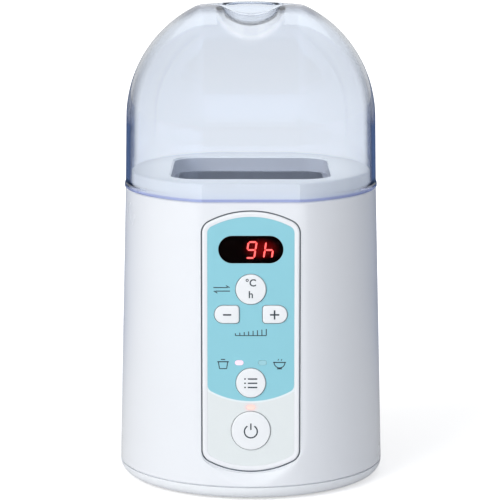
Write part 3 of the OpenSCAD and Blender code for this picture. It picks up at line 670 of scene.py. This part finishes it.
        # in millimetres: the rounded edge of the gland's hole, its seat and its bore
        rises = [(8.4, 0), (8.1, -0.1), (8, -0.4), (8, -1.2), (5.4, -1.2), (5.4, -2.4)]
        rises = [(grow * MM, n * MM) for grow, n in rises]
        parts.append(window_ring(outside, (level, level), gland_field, rises, 1, inside, level))
        parts.append((grid, faces[~(hole | rear)]))
        # ABS, glossy from a polished mould: long soft highlights down the sides, faintly wavy
        shell = finish("glossy white moulded shell", c.shell, 0.26, 0.05, 1.6, 0.015, 50)
        self.paint_pocket_shade(shell)
        make_piece("body_shell", parts, "housing", shell, ("outer_housing",))
        # ABS from a duller mould: the base looks a shade softer than the body above its seam
        base = finish("satin white moulded base", "#eef1f5", 0.34, 0.06, 1.4, 0.02, 50)
        dress(base, "base_plate")
        return {"FINISHED"}

    def paint_pocket_shade(self, shell):
        """The deep narrow gap round the panel is painted grey as shade, so it reads as a dark line.
        """
        add, shader, white, place = reopen(shell)
        face, out = (Vector(on_flat(0.0, 90 * MM, n)) for n in (0.0, 1.0))
        moved = add("VectorMath", (place, tuple(face)), operation="SUBTRACT")
        depth = add("VectorMath", (moved, tuple(out - face)), operation="DOT_PRODUCT")
        x, y, z = add("SeparateXYZ", (place,)).node.outputs
        aside = add("Math", (x,), operation="ABSOLUTE")
        limits = ((depth, -0.25), (aside, 28), (z, 165), (y, -60))
        deep = within(add, *((value, limit * MM, "LESS_THAN") for value, limit in limits))
        # painted shade: the grey stands in for the shadow deep in the gap round the panel
        feed(shader, {"Base Color": layered(add, white, (deep, "#848d97"))})


class YOGURT_OT_deck(bpy.types.Operator):
    """The deck and collar inside the dome, and the metal well below it"""

    bl_idname = "yogurt.deck"
    bl_label = "Deck and well"

    def execute(self, context):
        c = context.scene.yogurt_colours
        # ABS with a satin face: it glows evenly white under the dome, with no sharp highlight
        deck = finish("satin white moulded deck", c.deck, 0.3, 0.05, 1.4, 0.015, 50)
        self.paint_throat_shade(deck)
        dress(deck, "top_deck")
        # aluminium sheet, brushed up and down and anodised: upright streaks of soft grey, drawn
        # 0.4 mm wide, some four times the real grit, so that they show
        brushed = {"stretch": (1, 1, 0.04), "Metallic": 0.85}
        sheet = finish("brushed anodised aluminium", "#b9bac2", 0.38, 0.25, 0.4, 0.08, 4, **brushed)
        dress(sheet, "well_liner")
        return {"FINISHED"}

    def paint_throat_shade(self, deck):
        """The throat of the opening is painted matt grey as shade, below the bright edge of the
        deck.
        """
        add, shader, white, place = reopen(deck)
        x, y, z = add("SeparateXYZ", (place,)).node.outputs
        limits = [(z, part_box("top_deck")[1].z - 1.0 * MM, "LESS_THAN")]
        for value in (x, y):
            limits.append((add("Math", (value,), operation="ABSOLUTE"), 45.3 * MM, "LESS_THAN"))
        # painted shade: the grey stands in for the shadow inside the throat of the well
        feed(shader, {"Base Color": layered(add, white, (within(add, *limits), "#c6c9d2"))})


class YOGURT_OT_panel(bpy.types.Operator):
    """The key panel, its bright rim and its printed film"""

    bl_idname = "yogurt.panel"
    bl_label = "Key panel"

    def execute(self, context):
        q, c = context.scene.yogurt_panel, context.scene.yogurt_colours
        # ABS, high gloss: its rolled rim draws a bright line round the film
        white = finish("glossy white moulded panel", "#eef0f4", 0.22, 0.04, 1.2, 0.01, 40)
        dress(white, "control_panel")
        outer = [(0.0, -1.6), (0.02, -0.5), (-0.1, -0.12), (-0.4, 0.12), (-0.9, 0.24)]
        inner = [(-2.2, 0.15), (-2.75, 0.06), (-2.78, -0.16), (-1.5, -0.19), (-0.6, -1.6)]
        section = [*outer, (-1.5, 0.24), *inner]
        loops = [on_flat(*panel_outline(q, grow * MM).T, n * MM) for grow, n in section]
        make_piece("panel_rim", [loft(loops)], "housing", white, sharp=50)
        dress(self.film(q, c), "panel_overlay")
        return {"FINISHED"}

    def film(self, q, c):
        """Back-printed film: a coloured field above an arc, pale below, with painted glow round the
        lit lamps.
        """
        # polyester film, printed on its back: flat even colour under a faintly pebbled satin face
        made = finish("back-printed key film", c.aqua, 0.3, 0.05, 0.9, 0.03, 20)
        add, shader, aqua, place = reopen(made)
        middle = q.print_low + q.print_arc
        blur, soft = 0.25 * MM, 4.2 * MM

        def ring(x, y, reach, soft, squash=1.0, place=place):
            """Rises from 0 inside a circle round a place to 1 outside it, over the soft width."""
            shift, scale = (-x, 0, -y * squash), (1, 0, squash)
            moved = add("Mapping", {"Vector": place, "Location": shift, "Scale": scale})
            far = add("VectorMath", (moved,), operation="LENGTH")
            limits = (far, reach - soft, reach + soft)
            return add("MapRange", limits, interpolation_type="SMOOTHSTEP")

        outside = ring(0, middle, q.print_arc, blur)
        x, _, height = add("SeparateXYZ", (place,)).node.outputs
        aside = add("Math", (x,), operation="ABSOLUTE")
        folded = add("CombineXYZ", {"X": aside, "Z": height})
        inner = q.half - q.margin - soft
        level = middle - math.sqrt((q.print_arc - soft) ** 2 - inner**2)
        tests = (aside, inner + 1.1 * MM, "GREATER_THAN"), (height, level, "LESS_THAN")
        corner = within(add, *tests)
        rounded = ring(inner, level, soft, blur, place=folded)
        rounded = add("Math", (rounded, corner), operation="MULTIPLY")
        outside = add("Math", (outside, rounded), operation="MAXIMUM")
        low = within(add, (height, 75 * MM, "LESS_THAN"))
        share = add("Math", (outside, low), operation="MULTIPLY")
        fade = ring(0, middle, q.print_arc + 0.9 * MM, 0.4 * MM)
        shade = layered(add, aqua, (share, layered(add, "#ebf4f7", (fade, c.pale))))
        # painted light: the pink and warm glow of the lamps behind the film, put into its colour
        glows = ((-6.5, 78.3, 1.6, "#f6e4ee", 0.55), (0, 52.9, 2.75, "#ffd6d2", 0.75))
        for x, y, reach, colour, amount in glows:
            glow = ring(x * MM, y * MM, reach * MM, reach * MM, 1.5)
            shade = layered(add, shade, (add("MapRange", (glow, 0, 1, amount, 0.0)), colour))
        feed(shader, {"Base Color": shade})
        return made


# ---------- keys and printed marks, whose lengths are millimetres ----------


UNIT_AT, MENU_AT, START_AT = (0, 119.8), (0, 66.9), (0, 39.7)
MINUS_AT, PLUS_AT = (-13.4, 105.7), (13.4, 105.7)
UNIT_RADIUS, MENU_RADIUS, START_RADIUS = 8.4, 8.25, 10.9
ROUND_EDGE = 0.55
FILM_FACE = 0.07


def finer(points, count=8):
    """The same line with count steps between each two of its points."""
    points = np.asarray(points, float)
    at = np.linspace(0, len(points) - 1, (len(points) - 1) * count + 1)
    return np.stack([np.interp(at, np.arange(len(points)), points[:, i]) for i in (0, 1)], -1)


def marks(name, strokes, centre, body, ink, level, thick=0.03):
    """Printed marks: each stroke (points, width) round a centre is a thin strip on level(x, y).

    A strip's two rows are its points moved by half the width to either side of the line's way.
    """
    parts = []
    for points, width in strokes:
        points = finer(points) if len(points) < 9 else points
        way = np.gradient(points, axis=0)
        way /= np.maximum(np.linalg.norm(way, axis=1, keepdims=True), 1e-12)
        aside = np.stack([-way[:, 1], way[:, 0]], -1) * width / 2
        rows = np.stack([points + aside, points - aside])
        n = level(rows[..., 0], rows[..., 1])
        x, y = np.moveaxis((rows + np.array(centre)) * MM, -1, 0)
        high, low = (on_flat(x, y, (n + lift) * MM) for lift in (thick, -0.02))
        loop = np.stack([high[0], high[1], low[1], low[0]])
        ends = [np.broadcast_to(loop[:, i].mean(0), loop[:, i].shape)[:, None] for i in (0, -1)]
        loop = np.concatenate([ends[0], loop, ends[1]], 1)
        parts.append((loop, grid_faces(4, loop.shape[1], True, False)))
    make_piece(name, parts, body, ink, sharp=30)


def letters(name, text, centre, shift, body, ink, level, size=5.6, thick=0.05):
    """Plain printed letters as a mesh that lies on level(x, y), shift away from a key's centre."""
    curve = bpy.data.curves.new(name, "FONT")
    curve.body, curve.size, curve.align_x, curve.align_y = text, size * MM, "CENTER", "CENTER"
    curve.extrude, curve.resolution_u, curve.offset = thick * MM / 2, 6, 0.09 * MM
    shown = put(name, curve)
    bpy.context.view_layer.update()
    filled = shown.evaluated_get(bpy.context.evaluated_depsgraph_get())
    mesh = bpy.data.meshes.new_from_object(filled)
    bpy.data.objects.remove(shown)
    co = np.empty(len(mesh.vertices) * 3)
    mesh.vertices.foreach_get("co", co)
    co = co.reshape(-1, 3)
    co[:, :2] += np.array(shift) * MM - (co[:, :2].min(0) + co[:, :2].max(0)) / 2
    n = co[:, 2] + level(co[:, 0] / MM, co[:, 1] / MM) * MM
    world = on_flat(co[:, 0] + centre[0] * MM, co[:, 1] + centre[1] * MM, n)
    mesh.vertices.foreach_set("co", world.ravel())
    mesh.name = name
    hand_over(name, mesh, ink, body)


class YOGURT_OT_keys(bpy.types.Operator):
    """The five domed keys with their printed marks, and the marks on the film"""

    bl_idname = "yogurt.keys"
    bl_label = "Keys"

    def execute(self, context):
        q, c = context.scene.yogurt_panel, context.scene.yogurt_colours
        # ABS, polished: each key catches one small soft highlight on its domed top
        cap = finish("white key plastic, polished", c.key, 0.24, 0.04, 1.0, 0.015, 10)
        # pad-printed ink: matt dark grey, a little uneven in tone as thin ink is
        ink = finish("grey printing ink", c.ink, 0.5, 0.1, 0.3, 0.08, 1)
        rise, crown = q.rise / MM, q.crown / MM
        flange, side = [(0.7, -3.5), (0.7, -2.5)], [(0.0, -2.5), (0.0, rise - ROUND_EDGE)]
        e, turns = ROUND_EDGE, np.radians(np.linspace(15, 90, 6))
        edge = [(e * (math.cos(a) - 1), rise + e * (math.sin(a) - 1)) for a in turns]

        def key(name, outline, centre):
            """A cap lofted over its own outline: flange, wall, rounded edge and a crowned top."""
            levels = [(outline(grow), n) for grow, n in flange + side + edge]
            top = outline(-ROUND_EDGE)
            for share in np.linspace(0, 1, 12)[1:-1]:
                levels.append((top * (1 - share), rise + crown * (1 - (1 - share) ** 2)))
            loops = np.array([np.insert(ring, 2, n, axis=1) for ring, n in levels])
            middle = loops[-1:] * 0 + [0, 0, rise + crown]
            p = np.concatenate([loops[:1] * [0, 0, 1], loops, middle])
            world = on_flat(*np.moveaxis((p + [*centre, 0]) * MM, -1, 0))
            parts, button = [(world, grid_faces(*p.shape[:2], False, True))], (name + "_button",)
            make_piece(name + "_cap", parts, name + "_key", cap, button, sharp=60)

        def disc(radius):
            """The outline of a round key."""
            return lambda grow: arcs((0, 0, radius + grow, 0, 355, 72))

        def step(sign):
            """The outline of a minus or plus key: half round at its outer end, else cornered."""

            def outline(grow):
                r, corner, inner, centre = 4.95 + grow, 1.8 + grow, 6.85 + grow, 4.95 - 6.85
                lower = (inner - corner, corner - r, corner, 270, 360, 10)
                upper = (inner - corner, r - corner, corner, 0, 90, 10)
                return arcs((centre, 0, r, 90, 270, 36), lower, upper) * sign

            return outline

        key("unit", disc(UNIT_RADIUS), UNIT_AT)
        key("minus", step(1), MINUS_AT)
        key("plus", step(-1), PLUS_AT)
        key("menu", disc(MENU_RADIUS), MENU_AT)
        key("start", disc(START_RADIUS), START_AT)

        def crowned(reach):
            """The crown of a key as a height over x and y: rise + crown (1 - (r / reach)^2)."""
            return lambda x, y: rise + crown * (1 - (x * x + y * y) / (reach - ROUND_EDGE) ** 2)

        def on_step(x, y):
            """The crown of a step key: it falls by the larger of both ways, scaled by the key."""
            wide, high = 6.2, 4.4
            return rise + crown * (1 - np.maximum(np.abs(x) / wide, np.abs(y) / high) ** 2)

        def on_film(x, y):
            """The face of the film, level all over."""
            return FILM_FACE + 0 * x

        def lines(width, *ends):
            """Straight strokes of one width, each from x, y to x, y."""
            return [([each[:2], each[2:]], width) for each in ends]

        on_unit, heights = crowned(UNIT_RADIUS), (2.4, 0, -2.4)
        letters("unit_mark_degrees", "°C", UNIT_AT, (0, 3.9), "unit_key", ink, on_unit)
        letters("unit_mark_hours", "h", UNIT_AT, (0, -2.8), "unit_key", ink, on_unit)
        dash = lines(0.85, (-2.1, -0.1, 2.5, -0.1))
        cross = lines(0.85, (-2.8, -0.1, 2.4, -0.1), (-0.2, -2.7, -0.2, 2.5))
        spans = ((-1.7, 3.6), (-3.7, -2.8))
        bars = lines(0.75, *((start, y, end, y) for start, end in spans for y in heights))
        power = [(arcs((0, 0, 3.6, 122, 418, 40)), 0.75), *lines(0.75, (0, 0.9, 0, 4.6))]
        swap = lines(0.5, (-4.6, 1, 3.4, 1), (2.4, 2.1, 4.4, 0.95))
        swap += lines(0.5, (4.6, -1, -3.4, -1), (-2.4, -2.1, -4.4, -0.95))
        places = np.linspace(-8.6, 8.6, 8)
        ticks = lines(0.5, *((x, -0.9, x, 0.4 + 0.14 * (x + 8.6)) for x in places))
        pot = [([(-2.6, 1.5), (-2.0, -2.3), (2.0, -2.3), (2.6, 1.5)], 0.5)]
        pot += lines(0.6, (-3.2, 1.6, 3.2, 1.6)) + lines(0.5, (-1.2, 2.9, 1.2, 2.9))
        bowl = [(arcs((0, 1.2, 3.0, 180, 360, 24)), 0.5), *lines(0.55, (-3.6, 1.3, 3.6, 1.3))]
        bowl += lines(0.6, (-1.4, -2.3, 1.4, -2.3))
        bowl += lines(0.4, (-0.9, 2.3, -0.5, 3.2), (0.9, 2.3, 1.3, 3.2))
        for name, strokes, centre, body, level in (
            ("minus", dash, MINUS_AT, "minus_key", on_step),
            ("plus", cross, PLUS_AT, "plus_key", on_step),
            ("menu", bars, MENU_AT, "menu_key", crowned(MENU_RADIUS)),
            ("start", power, (0, 39.4), "start_key", crowned(START_RADIUS)),
            ("swap", swap, (-16.2, 119.8), "housing", on_film),
            ("level", lines(0.45, (-8.6, -0.9, 8.6, -0.9)) + ticks, (0, 94.6), "housing", on_film),
            ("pot", pot, (-15.5, 77.3), "housing", on_film),
            ("bowl", bowl, (16, 77.2), "housing", on_film),
        ):
            marks(name + "_mark", strokes, centre, body, ink, level)
        return {"FINISHED"}


class YOGURT_OT_display(bpy.types.Operator):
    """The smoked window, the lit digits behind it and the three lamps"""

    bl_idname = "yogurt.display"
    bl_label = "Display and lamps"

    def execute(self, context):
        smoke, lit_colour = context.scene.yogurt_colours.smoke, context.scene.yogurt_colours.lit
        # smoked acrylic, polished: it hides what is dark behind it and lets the lit red through
        window = clear_finish("smoked acrylic window", smoke, smoke, 0.03, (0.04, 0.04, 0.04))
        dress(window, "display_window")
        unlit = self.hazy_black()
        dress(unlit, "display_module")
        # diffusing epoxy over a lamp: an even red glow, near white where it is strongest
        lit = glow_finish("lit red segment", lit_colour, 14.0)
        digits = {"blank": (-9.45, ""), "nine": (0.3, "abcdfg"), "hour": (10.05, "cefg")}
        bars = {"a": (0, 1, 0), "b": (1, 0.5, 1), "c": (1, -0.5, 1), "d": (0, -1, 0)}
        bars |= {"e": (-1, -0.5, 1), "f": (-1, 0.5, 1), "g": (0, 0, 0)}
        wide, high, bar, level, slant = (5.6 - 1.1) / 2, (10 - 1.1) / 2, 0.9, 141.5, math.radians(9)

        def segment(place, x, y, upright):
            """One mitred bar of a digit, x and y in half digits, leaning with the digit."""
            half = (high / 2 if upright else wide) - 0.25
            along = np.array([-half, bar / 2 - half, half - bar / 2, half])
            thick = np.array([0.02, bar / 2, bar / 2, 0.02])
            edge = np.stack([along, thick], -1)
            edge = np.concatenate([edge, edge[::-1] * [1, -1]])
            p = (edge[:, ::-1] if upright else edge) + [x * wide, y * high]
            p[:, 0] += p[:, 1] * math.tan(slant) + place
            across, up = p[:, 0] * MM, (p[:, 1] + level) * MM
            return loft([on_flat(across, up, n * MM) for n in (-3.7, -3.5)], True)

        for name, (place, on) in digits.items():
            for state, look in (("lit", lit), ("dark", unlit)):
                chosen = [each for each in sorted(bars) if (each in on) == (state == "lit")]
                parts = [segment(place, *bars[each]) for each in chosen]
                hides = ("display_segments",) if (name, state) == ("nine", "lit") else ()
                if parts:
                    digit = f"digit_{name}_{state}"
                    make_piece(digit, parts, "housing", look, hides, sharp=30)
        dress(self.lens(), "indicator_lenses")
        # cast epoxy: a warm, faintly clouded bead
        dress(finish("pale epoxy lamp body", "#e9e2c8", 0.3, 0.03, 0.8, 0.03, 2), "indicator_leds")
        return {"FINISHED"}

    def hazy_black(self):
        """Matt black display body, with the red haze that lit digits throw on it."""
        # filled epoxy, unpolished: a deep black without highlights, on which the haze shows
        made = finish("matt black display body", "#0d0c0d", 0.6, 0.1, 0.6, 0.2, 3)
        add, shader, _, place = reopen(made)
        squash = 1.7
        shift, scale = (-5.6 * MM, 0, -142 * MM * squash), (1, 0, squash)
        moved = add("Mapping", {"Vector": place, "Location": shift, "Scale": scale})
        far = add("VectorMath", (moved,), operation="LENGTH")
        limits = (far, 3 * MM, 11 * MM, 1.0, 0.0)
        haze = add("MapRange", limits, interpolation_type="SMOOTHSTEP")
        light = layered(add, "#000000", (haze, (1.0, 0.02, 0.02, 1)))
        feed(shader, {"Emission Color": light, "Emission Strength": 0.6})
        return made

    def lens(self):
        """Milky lens: the left and the lower one lit from behind, the right one dark."""
        # polycarbonate with a milky filler: it blurs the lamp behind it into an even soft spot
        made = finish("milky lens plastic", "#9fd2dd", 0.3, 0.03, 0.8, 0.03, 2)
        add, shader, unlit, place = reopen(made)
        x, _, height = add("SeparateXYZ", (place,)).node.outputs
        left = within(add, (x, -3 * MM, "LESS_THAN"))
        low = within(add, (height, 65 * MM, "LESS_THAN"))
        on = add("Math", (left, low), operation="MAXIMUM")
        for socket, dark, pink, warm in (
            ("Emission Color", "#000000", "#ffd9ee", "#ffbdb4"),
            ("Base Color", unlit, "#e9c3d2", "#eec4ba"),
        ):
            feed(shader, {socket: layered(add, dark, (on, layered(add, pink, (low, warm))))})
        feed(shader, {"Emission Strength": 0.45})
        return made


class YOGURT_OT_insides(bpy.types.Operator):
    """The finishes of the feet, screws, gland, heater, boards and the rest inside"""

    bl_idname = "yogurt.insides"
    bl_label = "Feet, fasteners and insides"

    def execute(self, context):
        # turned steel, zinc plated: small sharp glints, slightly blotched by the plating
        steel = finish("zinc plated steel", "#b8bac0", 0.32, 0.1, 0.5, 0.06, 2, Metallic=1.0)
        dress(steel, "well_screws", "base_screws", "control_board_screws")
        # rubber, moulded: dull near black that swallows light, with a dusty unevenness
        rubber = finish("moulded black rubber", "#1d1d1f", 0.72, 0.3, 0.6, 0.12, 4)
        dress(rubber, "rubber_feet", "cord_gland", "thermistor")
        # glass fibre board under green lacquer: glossy green, clouded where copper lies below
        board = finish("green solder-masked board", "#1d5a35", 0.36, 0.3, 1.2, 0.25, 3)
        dress(board, "control_board", "power_board")
        # filled thermoset, moulded: matt charcoal, faintly speckled
        black = finish("black moulded thermoset", "#232427", 0.5, 0.2, 0.6, 0.12, 4)
        dress(black, "tact_switches", "control_board_chips", "relay", "smoothing_capacitor")
        # nylon, moulded and undyed: a waxy warm white
        nylon = finish("natural white nylon", "#dddcd2", 0.45, 0.12, 0.8, 0.05, 4)
        dress(nylon, "ribbon_connectors", "ribbon_cable", "terminal_block", "thermal_fuse")
        # silicone foam, cut: cells 1.2 mm wide break up the light, with no highlight at all
        dress(finish("grey closed-cell foam", "#6f7277", 0.9, 0.9, 1.2, 0.2, 2), "support_pad")
        # silicone on glass cloth, pressed: brick red with the cloth showing as a fine bump
        dress(finish("red silicone heater mat", "#a94a36", 0.6, 0.5, 1.6, 0.12, 3), "heater_pads")
        # copper wire, tinned: a warm metal line
        copper = finish("tinned copper lead", "#c08a5a", 0.3, 0.2, 0.5, 0.1, 2, Metallic=1.0)
        dress(copper, "heater_leads")
        # polyester tape, wound: yellow bands that run round the coil
        bands = (1, 1, 6)
        tape = finish("taped transformer winding", "#d9b23a", 0.45, 0.4, 0.8, 0.18, 1.6, bands)
        dress(tape, "transformer")
        # aluminium, die-cast: dull silver with a soft grainy skin
        cast = finish("die-cast aluminium clip", "#aeb0b4", 0.45, 0.3, 0.7, 0.1, 3, Metallic=0.9)
        dress(cast, "sensor_block")
        # acetal, moulded: slippery looking mid grey
        stem = finish("grey acetal stem", "#54575c", 0.4, 0.1, 0.6, 0.06, 3)
        dress(stem, *(name + "_stem" for name in ("unit", "minus", "plus", "menu", "start")))
        return {"FINISHED"}


class YOGURT_OT_stage(bpy.types.Operator):
    """A plain pale floor, soft lamps and the camera"""

    bl_idname = "yogurt.stage"
    bl_label = "Stage"

    def execute(self, context):
        scene = context.scene
        scene.view_settings.view_transform = "Standard"
        self.air(scene)
        self.floor()
        for name, place, size, power, colour in (
            ("key_window", (-1.5, -1.7, 1.2), 1.6, 40.0, "#ffffff"),
            ("fill_window", (1.8, -1.4, 0.6), 1.6, 9.0, "#eef2ff"),
            ("top_window", (-0.2, 0.1, 2.0), 1.4, 6.0, "#ffffff"),
        ):
            self.lamp(name, place, size, power, colour)
        self.camera(scene)
        return {"FINISHED"}

    def air(self, scene):
        """The light all round, white to rays that come straight from the camera.

        As light it is bright in front and dimmer behind and at the sides. A mirroring face sees it
        brighter above and behind, with a narrow upright card in the middle.
        """
        world = bpy.data.worlds.new("studio air")
        scene.world = world
        world.use_nodes = True
        add = partial(add_to, world.node_tree)
        x, y, z = add("SeparateXYZ", (add("TexCoord", out="Generated"),)).node.outputs
        mirrored = add("LightPath", out="Is Glossy Ray")
        far = add("MapRange", (mirrored, 0, 1, 0.17, 0.7))
        level = add("MapRange", (y, -1.0, 1.0, 0.56, far))
        shine = add("MapRange", (mirrored, 0, 1, 0.1, 1.0))
        limits = (z, 0.15, 0.85, 0.0, shine)
        above = add("MapRange", limits, interpolation_type="SMOOTHSTEP")
        soft = add("Math", (level, above), operation="ADD")
        aside = add("Math", (x,), operation="ABSOLUTE")
        narrow = add("MapRange", (aside, 0.3, 1.0, 1.0, 0.45))
        soft = add("Math", (soft, narrow), operation="MULTIPLY")
        card = within(add, (aside, 0.09, "LESS_THAN"))
        card = add("Math", (card, mirrored), operation="MULTIPLY")
        soft = add("Mix", {0: card, 2: soft, 3: 1.1})
        strength = add("Mix", {0: self.seen(add), 2: soft, 3: 1.0})
        air = {"Strength": strength, "Color": (0.98, 0.99, 1.0, 1)}
        feed(world.node_tree.nodes["Background"], air)

    def seen(self, add):
        """One for a ray from the camera, less beyond a clear wall and after a matt bounce."""
        path = add("LightPath").node.outputs
        dimmed = add("Math", (path["Is Transmission Ray"], 0.57), operation="MULTIPLY")
        either = add("Math", (path["Is Camera Ray"], dimmed), operation="MAXIMUM")
        straight = within(add, (path["Diffuse Depth"], 0.5, "LESS_THAN"))
        kept = add("MapRange", (straight, 0, 1, 0.8, 1.0))
        return add("Math", (either, kept), operation="MULTIPLY")

    def floor(self):
        """A wide flat sheet, which straight rays see lifted to the white of the background.

        The lift grows with the distance, so the shadows near the object stay.
        """
        size = 6.0
        points = [(x, y, 0.0) for x in (-size, size) for y in (-size, size)]
        mesh = bpy.data.meshes.new("floor")
        mesh.from_pydata(points, [], [(0, 2, 3, 1)])
        # painted board, rolled matt: no highlight, only the object's soft shadow
        made, add, shader, place = blank("matt white studio floor")
        mesh.materials.append(made)
        cloud = add("TexNoise", {"Vector": place, "Scale": 3.0})
        shade = layered(add, (0.80, 0.80, 0.81, 1), (cloud, (0.82, 0.82, 0.82, 1)))
        behind = add("MapRange", (add("SeparateXYZ", (place,), "Y"), 0.1, 0.4))
        path = add("LightPath").node.outputs
        mirrored = add("MapRange", (path["Is Transmission Ray"], 0, 1, path["Is Glossy Ray"], 0.15))
        behind = add("Math", (behind, mirrored), operation="MULTIPLY")
        shade = layered(add, shade, (behind, (0.16, 0.24, 0.46, 1)))
        far = add("VectorMath", (place,), operation="LENGTH")
        limits = (far, 0.1, 0.9, 0.55, 1.0)
        amount = add("MapRange", limits, interpolation_type="SMOOTHSTEP")
        lift = add("Math", (self.seen(add), amount), operation="MULTIPLY")
        feed(shader, {"Base Color": shade, "Roughness": 0.9, "Specular IOR Level": 0.0})
        feed(shader, {"Emission Color": "#ffffff", "Emission Strength": lift})
        return put("floor", mesh)

    def lamp(self, name, place, size, power, colour):
        """A square soft lamp aimed at the middle of the object."""
        light = bpy.data.lights.new(name, "AREA")
        light.shape, light.size, light.energy, light.color = "SQUARE", size, power, linear(colour)
        lamp = put(name, light)
        lamp.location = place
        lamp.visible_glossy = lamp.visible_transmission = False
        aim = Vector((0, 0, 0.13)) - Vector(place)
        lamp.rotation_euler = aim.to_track_quat("-Z", "Y").to_euler()

    def camera(self, scene):
        """The camera: level with the upper body, leaning 10 degrees down."""
        eye = bpy.data.cameras.new("camera")
        eye.lens, eye.sensor_width, eye.shift_x = 201.3, 36.0, -0.0017
        eye.clip_start, eye.clip_end = 0.05, 50
        scene.camera = camera = put("camera", eye)
        camera.location = (0, -1.593, 0.411)
        camera.rotation_euler = (math.radians(80), 0, 0)


class YOGURT_PT_sidebar(bpy.types.Panel):
    """Lists the pieces and their sizes"""

    bl_idname = "YOGURT_PT_sidebar"
    bl_label = "Yogurt maker"
    bl_space_type = "VIEW_3D"
    bl_region_type = "UI"
    bl_category = "Yogurt maker"

    def draw(self, context):
        for piece in PIECES:
            self.layout.operator(piece.bl_idname)
        for group in GROUPS:
            values = getattr(context.scene, group)
            box = self.layout.box()
            for key in values.__annotations__:
                box.prop(values, key)


PIECES = (
    YOGURT_OT_stage,
    YOGURT_OT_body,
    YOGURT_OT_deck,
    YOGURT_OT_dome,
    YOGURT_OT_panel,
    YOGURT_OT_keys,
    YOGURT_OT_display,
    YOGURT_OT_insides,
)
GROUPS = {
    "yogurt_body": BodySizes,
    "yogurt_dome": DomeSizes,
    "yogurt_panel": PanelSizes,
    "yogurt_colours": Colours,
}


def register():
    """Registers the groups, the operators and the panel."""
    for name, group in GROUPS.items():
        bpy.utils.register_class(group)
        setattr(bpy.types.Scene, name, PointerProperty(type=group))
    for each in (*PIECES, YOGURT_PT_sidebar):
        bpy.utils.register_class(each)


def unregister():
    """Takes away what register added."""
    for each in (YOGURT_PT_sidebar, *reversed(PIECES)):
        bpy.utils.unregister_class(each)
    for name, group in GROUPS.items():
        delattr(bpy.types.Scene, name)
        bpy.utils.unregister_class(group)


def main():
    """Registers the classes and makes every piece in order."""
    register()
    for piece in PIECES:
        group, name = piece.bl_idname.split(".")
        getattr(getattr(bpy.ops, group), name)()


if __name__ == "__main__":
    main()
